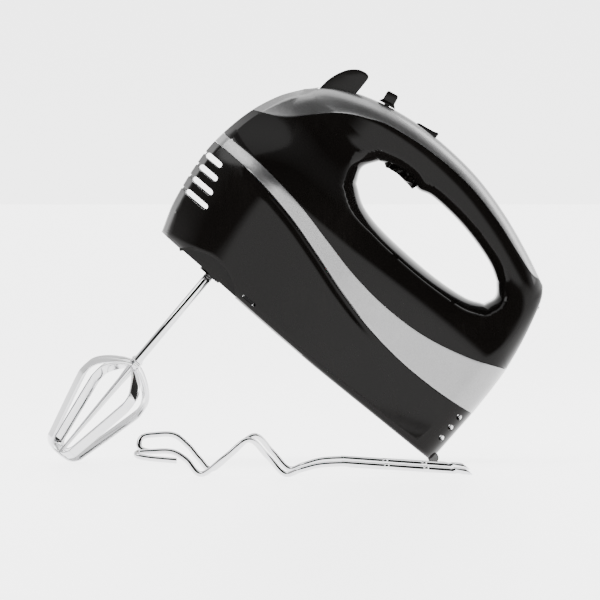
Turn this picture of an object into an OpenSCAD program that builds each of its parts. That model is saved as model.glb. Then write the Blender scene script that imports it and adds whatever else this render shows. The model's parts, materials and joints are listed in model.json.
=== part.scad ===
// Hand mixer at rest: it leans nose-up on its heel foot and on the tips of its two beaters.
// Every module below is drawn upright, with x forward, y to the left and z up from the base,
// and lean() tips it into the resting pose. Two dough hooks lie beside it on the same surface.

/* [Body] */
// Length of the housing from heel to nose
body_l = 209; // [195:1:255]
// Height of the housing from base to handle top
body_h = 139.4; // [132:0.2:170]
// Space between a worm wheel and the housing's side wall
gear_room = 1.6; // [1.4:0.1:6]
// Width of the handle
handle_w = 35; // [30:1:42]
// Wall of every moulded shell
wall = 2.4; // [2:0.1:3]

/* [Vents] */
// Height of a vent slot
slot_h = 3.5; // [2:0.1:4]
// Distance between vent slots
slot_pitch = 7.6; // [6:0.1:9]
// Diameter of the round vents at the heel
rear_vent_d = 3.3; // [2:0.1:4]

/* [Drive] */
// Distance between the two beater axes
beater_gap = 42; // [38:1:50]
// Pitch radius of the worm
worm_r = 4.6; // [4:0.1:5.2]
// Teeth on each worm wheel
wheel_teeth = 26; // [22:1:32]
// Height of the motor axis above the base
motor_z = 36; // [33:0.5:40]
// Diameter of the motor shaft
shaft_d = 6; // [5:0.5:7]
// Outside diameter of the rotor
rotor_d = 27; // [22:1:30]
// Length of the rotor and stator laminations
core_l = 28; // [20:1:32]
// Diameter of the cooling fan
fan_d = 48; // [36:1:54]
// Radial clearance of every running fit
run_gap = 0.06; // [0.03:0.01:0.1]

/* [Beaters] */
// Diameter of a beater's shaft
stem_d = 5; // [4:0.1:6]
// Length of bare shaft between the housing and the cage
stem_l = 65; // [50:1:80]
// Length of the cage
cage_l = 65; // [50:1:80]
// Radius of the cage at its widest
cage_r = 23.6; // [18:0.2:24]
// Width of the steel strip that the cage is bent from
strip_w = 6; // [4:0.2:7]
// Thickness of the strip
strip_t = 1.1; // [0.8:0.1:1.6]
// How far a beater turns its first loop away from the mixer's length
cage_turn = 33; // [20:1:34]

/* [Controls] */
// Travel of the eject button
eject_travel = 6; // [4:0.5:7]
// Travel of the speed slider
slider_travel = 12; // [8:1:12]
// Travel of the turbo button
turbo_travel = 2; // [1:0.2:2.4]

/* [Hooks] */
// Length of a dough hook
hook_l = 178; // [160:1:214]
// Diameter of the hook's wire
hook_wire_d = 3.2; // [2.4:0.1:4]
// Diameter of the hook's sleeve
hook_sleeve_d = 6.1; // [5.5:0.1:7]
// Height of the hook's wave, from trough to crest
hook_rise = 18.3; // [14:0.1:22]

/* [Hidden] */

black = [0.07, 0.065, 0.06];
silver = [0.74, 0.74, 0.74];
steel = [0.8, 0.81, 0.82];
copper = [0.72, 0.42, 0.25];
pale = [0.86, 0.84, 0.78];

// ---- curves
// A smooth curve through every point, with n steps between neighbours
function on_curve(a, b, c, d, t) =
    0.5 * (2 * b + (c - a) * t + (2 * a - 5 * b + 4 * c - d) * t * t
        + (3 * b - a - 3 * c + d) * t * t * t);
function smooth(p, n) = let (last = len(p) - 1) concat(
    [for (i = [0:last - 1]) for (k = [0:n - 1])
        on_curve(i > 0 ? p[i - 1] : 2 * p[0] - p[1], p[i], p[i + 1],
            i + 2 <= last ? p[i + 2] : 2 * p[last] - p[last - 1], k / n)],
    [p[last]]);
function swap(p) = [for (q = p) [q[1], q[0]]];
function ease(x) = let (t = min(1, max(0, x))) t * t * (3 - 2 * t);
function bulge(x) = let (t = min(1, max(0, x))) sqrt(1 - (1 - t) * (1 - t));
function mix(a, b, t) = a + (b - a) * t;
function unit(v) = v / norm(v);

wheel_r = beater_gap / 2 - worm_r;
tooth = 1;
body_w = 2 * (beater_gap / 2 + wheel_r + tooth - 0.15 + gear_room + wall);

// The outline is drawn 209 long and 139.4 high, and stretched to the body's length and height
function fit(p) = [for (q = p) [q[0] * body_l / 209, q[1] * body_h / 139.4]];
kx = body_l / 209;
kz = body_h / 139.4;

base_line = smooth(fit([[1.4, 0], [40, -0.7], [85, -1.5], [125, -1.2], [165, -0.2], [198.4, 0.3]]), 3);
nose_line = smooth(fit([[198.4, 0.3], [204.2, 18], [208, 42], [208.3, 60], [204.6, 82],
    [197.6, 100], [188.8, 113]]), 2);
top_line = smooth(fit([[188.8, 113], [177, 124], [158, 132.4], [136, 137.6], [112.8, 139.4],
    [84.8, 137.6], [58.8, 131.6], [34.8, 123], [15.8, 114.6]]), 2);
rear_line = smooth(fit([[15.8, 114.6], [11, 106], [4.9, 83], [1.2, 58], [0.7, 40], [1.4, 0]]), 2);
outline = concat(base_line, skip(nose_line), skip(top_line), skip(rear_line, 1));

// The finger opening, with as many points on each side as the outline has
hole_base = smooth(fit([[34.6, 85.8], [46, 81.4], [68.8, 79.2], [100.8, 80], [120, 83.4], [132.6, 91]]), 3);
hole_nose = smooth(fit([[132.6, 91], [136, 100], [131, 109]]), 6);
hole_top = smooth(fit([[131, 109], [122, 112.2], [112, 112.9], [103.8, 110.9], [95, 112.9], [76.8, 112],
    [60, 109], [46, 104.8], [37.4, 100]]), 2);
hole_rear = smooth(fit([[37.4, 100], [33.6, 96.4], [32.2, 92.4], [32.9, 88.6], [34.1, 86.5], [34.6,
    85.8]]), 2);
hole = concat(hole_base, skip(hole_nose), skip(hole_top), skip(hole_rear, 1));
function skip(p, last = 0) = [for (i = [1:len(p) - 1 - last]) p[i]];

// Edges of the two silver pieces, as seen from the side
band_top = smooth(fit([[-12, 70], [1.8, 66], [24.8, 56.8], [50.8, 50.6], [76.8, 49.2], [100.8, 51.4],
    [124.8, 56.4], [150.8, 62], [180.8, 65.2], [208, 64.8], [222, 64.4]]), 3);
band_base = smooth(fit([[-12, 36], [1.2, 34.6], [24.8, 32], [50.8, 31.6], [76.8, 34.4], [100.8, 39.6],
    [124.8, 46.6], [150.8, 53.4], [180.8, 57.8], [208, 58.4], [222, 58.4]]), 3);
cover_edge = smooth(fit([[222, 74], [203.4, 85], [192.8, 90], [184.8, 95.6], [176.8, 104], [168.8, 112],
    [160.8, 118], [150.8, 123], [138.8, 127.6], [112.8, 131.2], [84.8, 130.8], [58.8, 125.6],
    [38.8, 119.4], [24.8, 115.6], [17, 117.5], [10, 122]]), 3);

// ---- the housing's form: half its width at any point of the side view
nose_crease = 4;
nose_round = 44;
rear_round = 14;
top_round = 13;
base_round = 4;
hole_round = 9;
function half_width(x, z) =
    mix(body_w / 2 * mix(0.82, 1, ease(x / (110 * kx))), handle_w / 2, ease((z - 60 * kz) / (48 * kz)));
function nose_form(d) = d < nose_crease ? mix(0.22, 0.5, max(0, d) / nose_crease)
    : 0.5 + 0.5 * sin(90 * min(1, (d - nose_crease) / (nose_round - nose_crease)));
function form(x, z, from_hole, cut) =
    (half_width(x, z) - cut)
    * nose_form(lookup(z, swap(nose_line)) - cut - x)
    * mix(0.45, 1, bulge((x - cut - lookup(z, swap(rear_line))) / rear_round))
    * mix(0.2, 1, bulge((lookup(x, top_line) - cut - z) / top_round))
    * mix(0.9, 1, bulge((z - cut - lookup(x, base_line)) / base_round))
    * mix(0.3, 1, bulge(from_hole / hole_round));

// A closed line moved sideways by d, to its left for a positive d
function shifted(p, d) = let (n = len(p)) [for (i = [0:n - 1])
    let (t = unit(p[(i + 1) % n] - p[(i + n - 1) % n])) p[i] + d * [-t[1], t[0]]];

// Distances from the opening and from the outline at which the surface has a ring of points
near_hole = [0, 0.7, 2.5, 5, 9];
near_edge = [14, 8, 4, 1.2, 0];
function ring_place(k, l) =
    let (s = min(1, l / 25), a = 9 * s, b = l - 14 * s)
    k < 5 ? near_hole[k] * s : k > 7 ? l - near_edge[k - 8] * s : mix(a, b, (k - 4) / 4);

// The housing as one solid, its surface moved inwards by cut
module body_form(cut) {
    outer = shifted(outline, cut);
    inner = shifted(hole, -cut);
    n = len(outline);
    m = 13;
    function point(i, k, side) =
        let (l = norm(outer[i] - inner[i]), d = ring_place(k, l), q = mix(inner[i], outer[i], d / l))
        [q[0], side * form(q[0], q[1], d, cut), q[1]];
    points = [for (side = [1, -1]) for (i = [0:n - 1]) for (k = [0:m - 1]) point(i, k, side)];
    function at(i, k, side) = side * n * m + (i % n) * m + k;
    faces = concat(
        [for (i = [0:n - 1]) for (k = [0:m - 2]) for (f = [0, 1])
            let (a = at(i, k, 0), b = at(i + 1, k, 0), c = at(i + 1, k + 1, 0), d = at(i, k + 1, 0))
            f == 0 ? [a, c, b] : [a, d, c]],
        [for (i = [0:n - 1]) for (k = [0:m - 2]) for (f = [0, 1])
            let (a = at(i, k, 1), b = at(i + 1, k, 1), c = at(i + 1, k + 1, 1), d = at(i, k + 1, 1))
            f == 0 ? [a, b, c] : [a, c, d]],
        [for (i = [0:n - 1]) for (f = [0, 1])
            let (a = at(i, 0, 0), b = at(i + 1, 0, 0), c = at(i + 1, 0, 1), d = at(i, 0, 1))
            f == 0 ? [a, b, c] : [a, c, d]],
        [for (i = [0:n - 1]) for (f = [0, 1])
            let (a = at(i, m - 1, 0), b = at(i + 1, m - 1, 0), c = at(i + 1, m - 1, 1), d = at(i, m - 1, 1))
            f == 0 ? [a, c, b] : [a, d, c]]);
    polyhedron(points, faces, convexity = 8);
}

// A side-view outline as a solid between y = from and y = to
module side(from, to) {
    translate([0, to, 0]) rotate([90, 0, 0]) linear_extrude(to - from, convexity = 6) children();
}
// A thin-walled moulding: one mesh, cut from the housing's form
module moulding() {
    resize([0, 0, 0]) difference() {
        intersection() {
            body_form(0);
            children(0);
        }
        body_form(wall);
        children([1:$children - 1]);
    }
}

// ---- places along the mixer
beater_x = 162.4 * kx;
socket_z = -1;
thread = 2 * PI * wheel_r / wheel_teeth;
play = 0.28;
sleeve_r = stem_d / 2 + 2;
sleeve_top = motor_z + 17;
wheel_h = 11;
worm_l = 26;
plate_z = 11;
plate_t = 3;
front_bracket_x = 134 * kx;
fan_x = 112 * kx;
core_x = 76 * kx;
commutator_x = 41 * kx;
rear_bracket_x = 24 * kx;
bracket_t = 3;
shaft_front = beater_x + worm_l / 2 + 7;
shaft_rear = rear_bracket_x - 4;
core_w = min(rotor_d + 22, 2 * (motor_z - 7));
brush_l = 12;

// ---- beater cage: the outside of one loop, from the axis at the bottom round to the stem, as [radius, drop]
cage_top = stem_l;
cage_end = stem_l + cage_l;
loop_line = smooth([[0, cage_end], [7, cage_end - 0.7], [0.49 * cage_r, cage_end - 4.2],
    [0.58 * cage_r, cage_end - 10], [0.95 * cage_r, cage_top + 0.4 * cage_l], [cage_r,
        cage_top + 0.29 * cage_l],
    [0.92 * cage_r, cage_top + 0.19 * cage_l], [0.66 * cage_r, cage_top + 0.1 * cage_l],
    [0.34 * cage_r, cage_top + 0.03 * cage_l], [stem_d / 2, cage_top]], 4);

// The lean at which the foot and the beaters' lowest edges stand on one plane
function lowest(lean) = min([for (p = loop_line)
    (beater_x - p[0] * cos(cage_turn) - strip_w / 2 * sin(cage_turn)) * sin(lean) + (socket_z - p[1])
        * cos(lean)]);
function find_lean(low, high, n) = let (m = (low + high) / 2)
    n == 0 ? m : lowest(m) > 0 ? find_lean(low, m, n - 1) : find_lean(m, high, n - 1);
tilt = find_lean(10, 80, 30);
module lean() {
    rotate([0, tilt, 0]) rotate([0, 0, 180]) children();
}

// ---- small shapes
module along_x(x, y, z, r, l, inner = 0) {
    translate([x, y, z]) rotate([0, 90, 0]) ring(r, l, inner);
}
module ring(r, l, inner = 0) {
    difference() {
        cylinder(r = r, h = l, $fn = 48);
        if (inner > 0) translate([0, 0, -1]) cylinder(r = inner, h = l + 2, $fn = 48);
    }
}
module both() {
    for (s = [-1, 1]) translate([0, s * beater_gap / 2, 0]) children();
}
module block(x0, x1, y0, y1, z0, z1) {
    translate([x0, y0, z0]) cube([x1 - x0, y1 - y0, z1 - z0]);
}
module slot_outline(x0, x1, z, h) {
    hull() for (x = [x0 + h / 2, x1 - h / 2]) translate([x, z]) circle(d = h, $fn = 16);
}

// ---- housing
far = 400;
module below(line) {
    side(-far, far) polygon(concat([[line[0][0], -far]], line, [[line[len(line) - 1][0], -far]]));
}
module above(line) {
    side(-far, far) polygon(concat([[line[0][0], far]], line, [[line[len(line) - 1][0], far]]));
}
module between(low, high) {
    side(-far, far) polygon(concat(low, [for (i = [len(high) - 1:-1:0]) high[i]]));
}
function x_at(p, d) = lookup(p, swap(nose_line)) - d;

vent_top = 49.8 * kz;
vents = 4;
clip_x = [132.3 * kx, 141.2 * kx];
clip_z = [2.3, 4.1];
clip_floor = lookup(clip_x[1], base_line) + wall + 0.4;
arch_r = 25.6;
arch_z = 9 - arch_r;
arch_depth = 8;
foot_r = 3;
foot_c = [2.6 * sin(tilt), 2.6 * cos(tilt)];
module arch(r, from) {
    for (s = [-1, 1]) translate([beater_x + 1, s > 0 ? from : -far, 0])
        side(0, far - from) translate([0, arch_z]) circle(r = r, $fn = 60);
}
module vent_cuts() {
    for (k = [0:vents - 1])
        let (z = vent_top - k * slot_pitch, l = 11 + 1.6 * k)
        side(-far, far) slot_outline(x_at(z, l + 1), x_at(z, 0.9), z, slot_h);
    for (k = [0:2]) let (z = 13.4 + k * slot_pitch) {
        side(-far, far) translate([5.6 * kx, z]) circle(d = rear_vent_d, $fn = 20);
        side(-18, 18) slot_outline(-6, lookup(z, swap(rear_line)) + 1.6, z, rear_vent_d);
    }
    side(-far, far) slot_outline(clip_x[0], clip_x[1], (clip_z[0] + clip_z[1]) / 2, clip_z[1] - clip_z[0]);
}
module foot_bar(grow) {
    translate([foot_c[0], 0, foot_c[1]]) rotate([90, 0, 0])
        cylinder(r = foot_r + grow, h = 44 + 2 * grow, center = true, $fn = 40);
}
screw_r = 1.5;
screw_head_r = 2.9;
screw_side = 15;
screw_places = [[rear_bracket_x + bracket_t / 2, screw_side], [rear_bracket_x + bracket_t / 2, -screw_side],
    [beater_x - 17, 12], [beater_x - 17, -12]];

module lower_housing() {
    color(black) lean() resize([0, 0, 0]) difference() {
        union() {
            difference() {
                intersection() {
                    body_form(0);
                    below(band_base);
                }
                body_form(wall);
            }
            intersection() {
                body_form(0);
                below(band_base);
                arch(arch_r + wall, body_w / 2 - arch_depth - wall);
            }
        }
        arch(arch_r, body_w / 2 - arch_depth);
        vent_cuts();
        both() translate([beater_x, 0, -20]) cylinder(r = sleeve_r + 2.2, h = 40, $fn = 40);
        for (p = screw_places) translate([p[0], p[1], -20]) cylinder(r = screw_r + 0.2, h = 40, $fn = 20);
        for (p = screw_places) translate([p[0], p[1], -20]) cylinder(r = screw_head_r + 0.2, h = 20.2,
            $fn = 20);
        foot_bar(0.05);
    }
}
module side_band() {
    color(silver) lean() moulding() between(band_base, band_top);
}
module upper_housing() {
    color(black) lean() moulding() {
        difference() {
            above(band_top);
            above(cover_edge);
        }
        cord_hole();
    }
}
module top_cover() {
    color(silver) lean() moulding() {
        above(cover_edge);
        fin_path(0.4);
        block(slider_x - slider_travel - 2.5, slider_x + 2.5, -1.9, 1.9, 100, far);
        block(turbo_x - 0.4, turbo_x + turbo_l + 0.4, -turbo_w / 2 - 0.4, turbo_w / 2 + 0.4, 100, far);
    }
}
module heel_foot() {
    color([0.1, 0.1, 0.1]) lean() difference() {
        foot_bar(0);
        rotate([0, tilt, 0]) translate([-50, -50, -50]) cube([100, 100, 50]);
    }
}
module base_clip() {
    color(black) lean() for (s = [-1, 1])
        translate([0, s * (half_width(clip_x[0], 0) - 7), 0])
            block(clip_x[0] + 1.5, clip_x[1] - 1, -1.5, 1.5, clip_floor, clip_z[1] - 0.3);
}
module socket_collars() {
    color(black) lean() both() translate([beater_x, 0, socket_z]) {
        ring(sleeve_r + 2.15, 5, sleeve_r + 0.4);
    }
}
module base_screws() {
    color(steel) lean() for (p = screw_places) translate([p[0], p[1], -0.3]) {
        cylinder(r = screw_head_r, h = 0.5, $fn = 32);
        cylinder(r = screw_r, h = 9, $fn = 32);
    }
}

// ---- gears and their frame
plate_reach = 21;
plate_corner = 8;
module gear_plate() {
    color(pale) lean() difference() {
        union() {
            translate([beater_x, 0, plate_z]) linear_extrude(plate_t) offset(plate_corner, $fn = 32)
                square([2 * (plate_reach - plate_corner),
                    beater_gap + 2 * (sleeve_r + 3 - plate_corner)], center = true);
            both() translate([beater_x, 0, plate_z - 5]) cylinder(r = sleeve_r + 2.5, h = 16, $fn = 48);
            for (p = [screw_places[2], screw_places[3]])
                translate([p[0], p[1], wall + 0.3]) cylinder(r = screw_r + 2, h = plate_z - wall, $fn = 40);
            block(shaft_front - 6, shaft_front - 1, -8, 8, plate_z, motor_z + 8);
        }
        both() translate([beater_x, 0, 0]) cylinder(r = sleeve_r + run_gap, h = 60, $fn = 48);
        for (p = [screw_places[2], screw_places[3]])
            translate([p[0], p[1], 0]) cylinder(r = screw_r, h = 8.8, $fn = 32);
        translate([shaft_front - 7, 0, motor_z]) rotate([0, 90, 0]) cylinder(r = shaft_d / 2 + 2,
            h = 8, $fn = 48);
    }
}
module worm_bearing() {
    color(copper) lean() along_x(shaft_front - 6, 0, motor_z, shaft_d / 2 + 2, 5, shaft_d / 2 + run_gap);
}
module worm_wheel() {
    turn = wheel_h * tan(atan(2 * thread / (2 * PI * worm_r))) / wheel_r * 180 / PI;
    pitch_a = 360 / wheel_teeth;
    root = wheel_r - tooth - 0.25;
    tip = wheel_r + tooth - 0.15;
    half_root = (thread / 4 + 0.3 - play) / wheel_r * 180 / PI;
    half_tip = (thread / 4 - 0.42 - play / 2) / wheel_r * 180 / PI;
    difference() {
        resize([0, 0, 0]) translate([0, 0, -wheel_h / 2])
            rotate([0, 0, turn / 2]) linear_extrude(wheel_h, twist = turn, slices = 4, convexity = 4)
            polygon([for (k = [0:wheel_teeth - 1]) for (q = [[-half_root * 1.1, root], [-half_tip, tip],
                [half_tip, tip], [half_root * 1.1, root]])
                q[1] * [cos(k * pitch_a + q[0]), sin(k * pitch_a + q[0])]]);
        translate([0, 0, -wheel_h]) cylinder(r = sleeve_r, h = 2 * wheel_h, $fn = 48);
    }
}
module wheel_at(s) {
    lean() translate([beater_x, s * beater_gap / 2, motor_z])
        rotate([s > 0 ? 0 : 180, 0, 0]) rotate([0, 0, -90]) color(pale) worm_wheel();
}
module left_worm_wheel() { wheel_at(1); }
module right_worm_wheel() { wheel_at(-1); }
module sleeve_at(s) {
    color(steel) lean() translate([beater_x, s * beater_gap / 2, socket_z + 0.5])
        ring(sleeve_r, sleeve_top - socket_z - 0.5, stem_d / 2 + run_gap);
}
module left_drive_sleeve() { sleeve_at(1); }
module right_drive_sleeve() { sleeve_at(-1); }
module worm() {
    root = worm_r - tooth - 0.25;
    tip = worm_r + tooth - 0.15;
    half_root = 360 * (thread / 4 + 0.3 - play) / (2 * thread);
    half_tip = 360 * (thread / 4 - 0.42 - play / 2) / (2 * thread);
    color(steel) lean() translate([beater_x, 0, motor_z]) rotate([0, 90, 0]) difference() {
        resize([0, 0, 0]) translate([0, 0, -worm_l / 2])
            rotate([0, 0, 180 * worm_l / (2 * thread)])
            linear_extrude(worm_l, twist = 360 * worm_l / (2 * thread), slices = 36, convexity = 4)
            polygon([for (k = [0, 1]) for (q = worm_section(root, tip, half_root, half_tip))
                q[1] * [cos(k * 180 + q[0]), sin(k * 180 + q[0])]]);
        translate([0, 0, -worm_l]) cylinder(r = shaft_d / 2, h = 2 * worm_l, $fn = 48);
    }
}
function worm_section(root, tip, wide, narrow) = concat(
    [[-wide, root], [-narrow, tip], [0, tip], [narrow, tip], [wide, root]],
    [for (a = [wide + 20:20:175 - wide]) [a, root]]);

// ---- motor
module motor_shaft() {
    color(steel) lean() along_x(shaft_rear, 0, motor_z, shaft_d / 2, shaft_front - shaft_rear);
}
module rotor_core() {
    color([0.45, 0.46, 0.47]) lean() along_x(core_x - core_l / 2, 0, motor_z, rotor_d / 2, core_l,
        shaft_d / 2);
}
module rotor_windings() {
    color(copper) lean() for (s = [-1, 1])
        along_x(s > 0 ? core_x + core_l / 2 : core_x - core_l / 2 - 6, 0, motor_z, rotor_d / 2 - 2, 6,
            shaft_d / 2);
}
module commutator() {
    color(copper) lean() along_x(commutator_x, 0, motor_z, 9, 12, shaft_d / 2);
}
module cooling_fan() {
    blades = 12;
    color(pale) lean() translate([fan_x, 0, motor_z]) rotate([0, 90, 0]) difference() {
        union() {
            cylinder(r = fan_d / 2, h = 1.5, $fn = 60);
            cylinder(r = shaft_d / 2 + 3, h = 9, $fn = 48);
            for (k = [0:blades - 1]) rotate([0, 0, 360 / blades * k])
                translate([shaft_d / 2 + 2, -0.6, 1]) cube([fan_d / 2 - shaft_d / 2 - 3, 1.2, 7.5]);
        }
        translate([0, 0, -1]) cylinder(r = shaft_d / 2, h = 12, $fn = 48);
    }
}
module stator_core() {
    color([0.5, 0.5, 0.5]) lean() translate([core_x - core_l / 2, 0, motor_z]) rotate([90, 0, 90])
        difference() {
        linear_extrude(core_l) square([core_w, core_w], center = true);
        translate([0, 0, -1]) cylinder(r = rotor_d / 2 + 0.5, h = core_l + 2, $fn = 60);
        for (s = [-1, 1]) translate([-rotor_d / 2 + 2, s > 0 ? rotor_d / 2 + 1 : -rotor_d / 2 - 6, -1])
            cube([rotor_d - 4, 5, core_l + 2]);
    }
}
module field_coils() {
    h = 4.4;
    w = rotor_d - 4.8;
    color(copper) lean() for (s = [-1, 1]) translate([core_x, 0, motor_z + s * (rotor_d / 2 + 3.5)])
        difference() {
            cube([core_l + 10, w, h], center = true);
            cube([core_l - 6, w - 9, h + 2], center = true);
        }
}
module bracket(x) {
    half = core_w / 2;
    difference() {
        union() {
            block(x, x + bracket_t, -14, 14, wall + 0.3, motor_z + 12);
            block(x, x + bracket_t, -half, half, motor_z - 6, motor_z + 6);
            block(x - 1, x + bracket_t + 1, -19, 19, wall + 0.3, wall + 8);
        }
        translate([x - 1, 0, motor_z]) rotate([0, 90, 0])
            cylinder(r = shaft_d / 2 + 3, h = bracket_t + 2, $fn = 48);
        for (s = [-1, 1]) translate([x + bracket_t / 2, s * screw_side, 0]) cylinder(r = screw_r,
            h = 8.8, $fn = 32);
    }
}
module bearing(x) {
    along_x(x, 0, motor_z, shaft_d / 2 + 3, bracket_t, shaft_d / 2 + run_gap);
}
module front_bracket() { color(pale) lean() bracket(front_bracket_x - 8); }
module rear_bracket() { color(pale) lean() bracket(rear_bracket_x); }
module front_bearing() { color(copper) lean() bearing(front_bracket_x - 8); }
module rear_bearing() { color(copper) lean() bearing(rear_bracket_x); }
module brush_holders() {
    color([0.75, 0.6, 0.3]) lean() for (s = [-1, 1]) difference() {
        translate([commutator_x + 6, s * (9.6 + brush_l / 2 + 1), motor_z]) cube([8, brush_l, 9],
            center = true);
        translate([commutator_x + 6, s * 15, motor_z]) cube([6, 30, 7], center = true);
    }
}
module carbon_brushes() {
    color([0.2, 0.2, 0.2]) lean() for (s = [-1, 1])
        translate([commutator_x + 6, s * (9.1 + brush_l / 2), motor_z]) cube([5.9, brush_l, 6.9],
            center = true);
}

// ---- controls
slider_x = 148 * kx;
turbo_x = 115.2 * kx;
turbo_l = 13.6;
turbo_w = 10;
fin_w = 9;
fin_line = fit([[183, 118], [182, 127], [178, 136], [172.6, 140.9], [168, 142], [165.4, 140.4], [165,
    133], [165, 118]]);
fin_low = 112 * kz;
module fin_path(grow) {
    hull() for (x = [165 * kx, 182.9 * kx]) translate([x, 0, 105 * kz])
        translate([-grow, -fin_w / 2 - grow, 0]) cube([2 * grow + 0.01, fin_w + 2 * grow, 60]);
}
module eject_button() {
    color(black) lean() {
        side(-fin_w / 2, fin_w / 2) polygon(smooth(fin_line, 3));
        block(166 * kx, 181 * kx, -fin_w / 2 + 1, fin_w / 2 - 1, fin_low, 119 * kz);
    }
}
yoke_z = sleeve_top + eject_travel + 5;
yoke_t = 3;
yoke_end = beater_gap / 2 + sleeve_r + 1.8;
arm_x = [beater_x + 8 * kx, beater_x + 14 * kx];
pin_z = sleeve_top - 3;
module eject_yoke() {
    color(pale) lean() {
        block(beater_x - 5, beater_x + 5, -yoke_end, yoke_end, yoke_z, yoke_z + yoke_t);
        block(beater_x + 5, arm_x[1], -4, 4, yoke_z, yoke_z + yoke_t);
        block(arm_x[0], arm_x[1], -2.5, 2.5, yoke_z + yoke_t, fin_low);
        both() translate([beater_x, 0, pin_z]) cylinder(r = stem_d / 2 - 0.2, h = yoke_z - pin_z + 1,
            $fn = 40);
    }
}
// Each spring surrounds the top of its drive sleeve and clears the worm wheel when the button is down
module eject_spring() {
    low = motor_z + wheel_h / 2 + eject_travel + 0.4;
    color(steel) lean() both() translate([beater_x, 0, low])
        ring(sleeve_r + 1.3, yoke_z - low, sleeve_r + 0.3);
}
slide_angle = 11;
slider_z = lookup(slider_x, top_line) + 0.5;
module speed_slider() {
    color(black) lean() translate([slider_x, 0, slider_z]) rotate([0, slide_angle, 0]) {
        hull() {
            translate([-5.2, -7, 0]) cube([10.4, 14, 0.6]);
            translate([-3.6, -6, 1.2]) cube([7.2, 12, 0.6]);
        }
        translate([-3.6, -6, 1.5]) cube([7.2, 12, 6]);
        translate([-1.6, -1.4, -8]) cube([3.2, 2.8, 8.5]);
    }
}
module slider_contact() {
    color(copper) lean() translate([slider_x, 0, slider_z]) rotate([0, slide_angle, 0])
        translate([-3, -4, -9]) cube([6, 8, 1]);
}
module turbo_button() {
    z = 139 * kz;
    color(black) lean() side(-turbo_w / 2, turbo_w / 2)
        polygon([[turbo_x, z - 5], [turbo_x + turbo_l, z - 5], [turbo_x + turbo_l, z + 0.5],
            [turbo_x + 2.2, z + 2.2], [turbo_x + 1.2, z + 3.2], [turbo_x, z + 3]]);
}
board_z = 119 * kz;
module circuit_board() {
    color([0.15, 0.35, 0.2]) lean() block(96 * kx, 156 * kx, -9, 9, board_z, board_z + 1.6);
}
module speed_switch() {
    color([0.2, 0.2, 0.22]) lean() block(slider_x - slider_travel - 6, slider_x + 6, -6, 6,
        board_z + 1.6, board_z + 5.6);
}
module turbo_switch() {
    color([0.2, 0.2, 0.22]) lean() {
        block(turbo_x + 2, turbo_x + turbo_l - 2, -4, 4, board_z + 1.6, board_z + 8);
        block(turbo_x + 5, turbo_x + 8, -1.5, 1.5, board_z + 8, 134 * kz - turbo_travel - 0.4);
    }
}
cord_z = 99 * kz;
cord_r = 3.4;
module at_cord_inlet() {
    translate([lookup(cord_z, swap(rear_line)) + 0.6, 0, cord_z]) rotate([0, 90, 0]) children();
}
bush_l = 10;
flange_r = cord_r + 3.2;
flange_z = wall + 1.5;
module cord_hole() {
    at_cord_inlet() {
        translate([0, 0, -10]) cylinder(r = cord_r + 2.1, h = 16, $fn = 32);
        translate([0, 0, flange_z - 0.1]) cylinder(r = flange_r + 0.1, h = bush_l, $fn = 32);
    }
}
module cord_bush() {
    color(black) lean() at_cord_inlet() difference() {
        union() {
            cylinder(r = cord_r + 2, h = bush_l, $fn = 48);
            translate([0, 0, flange_z]) cylinder(r = flange_r, h = 2, $fn = 48);
        }
        translate([0, 0, -1]) cylinder(r = cord_r, h = bush_l + 2, $fn = 48);
    }
}
module cord_clamp() {
    color(pale) lean() translate([lookup(cord_z, swap(rear_line)) + 14, 0, cord_z]) {
        for (s = [-1, 1]) translate([0, 0, s * (cord_r + 1)]) cube([4, 14, 2], center = true);
        for (s = [-1, 1]) translate([0, s * 6, 0]) cube([4, 2, 2 * cord_r + 3], center = true);
    }
}

// ---- beaters
// The inner loop passes inside the outer one, this far from it
loop_gap = 0.35;
tip_r = 1.1;
module stem_at(s) {
    top = pin_z - eject_travel - 0.5;
    bottom = cage_end - 2 * strip_t - loop_gap;
    color(steel) lean() translate([beater_x, s * beater_gap / 2, socket_z]) rotate([180, 0, 0])
        rotate_extrude($fn = 40) polygon([[0, -top + socket_z], [stem_d / 2 - 0.8, -top + socket_z],
            [stem_d / 2, -top + socket_z + 1], [stem_d / 2, cage_top + 6], [stem_d / 2 - 0.6,
                cage_top + 12],
            [tip_r, bottom - 4], [tip_r, bottom], [0, bottom]]);
}
module cap_at(s) {
    color(steel) lean() translate([beater_x, s * beater_gap / 2, socket_z - cage_top + 0.3])
        ring(stem_d / 2 + 1.2, 2.4, stem_d / 2);
}
// One loop of the cage: a strip bent to the loop's outline, drawn in the plane of its own turn
module loop_at(s, turn, inside) {
    color(steel) lean() translate([beater_x, s * beater_gap / 2, socket_z]) rotate([0, 0, turn])
        difference() {
        side(-strip_w / 2, strip_w / 2) difference() {
            loop_face(0, inside);
            loop_face(strip_t, inside);
        }
        translate([0, 0, -cage_end + 8]) cylinder(r = stem_d / 2 + 0.02, h = cage_l + 10, $fn = 40);
    }
}
module loop_face(cut, inside) {
    n = len(loop_line);
    moved = [for (i = [0:n - 1])
        let (t = unit(loop_line[min(i + 1, n - 1)] - loop_line[max(i - 1, 0)]),
            q = loop_line[i] + (cut + inside * (strip_t + loop_gap)) * [t[1], -t[0]])
        [max(q[0], 0), -q[1]]];
    polygon(concat(moved, [for (i = [n - 1:-1:0]) [-moved[i][0], moved[i][1]]]));
}
module left_beater_stem() { stem_at(1); }
module right_beater_stem() { stem_at(-1); }
module left_beater_outer_loop() { loop_at(1, cage_turn, 0); }
module right_beater_outer_loop() { loop_at(-1, cage_turn, 0); }
module left_beater_inner_loop() { loop_at(1, cage_turn + 90, 1); }
module right_beater_inner_loop() { loop_at(-1, cage_turn + 90, 1); }
module left_beater_cap() { cap_at(1); }
module right_beater_cap() { cap_at(-1); }

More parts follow.
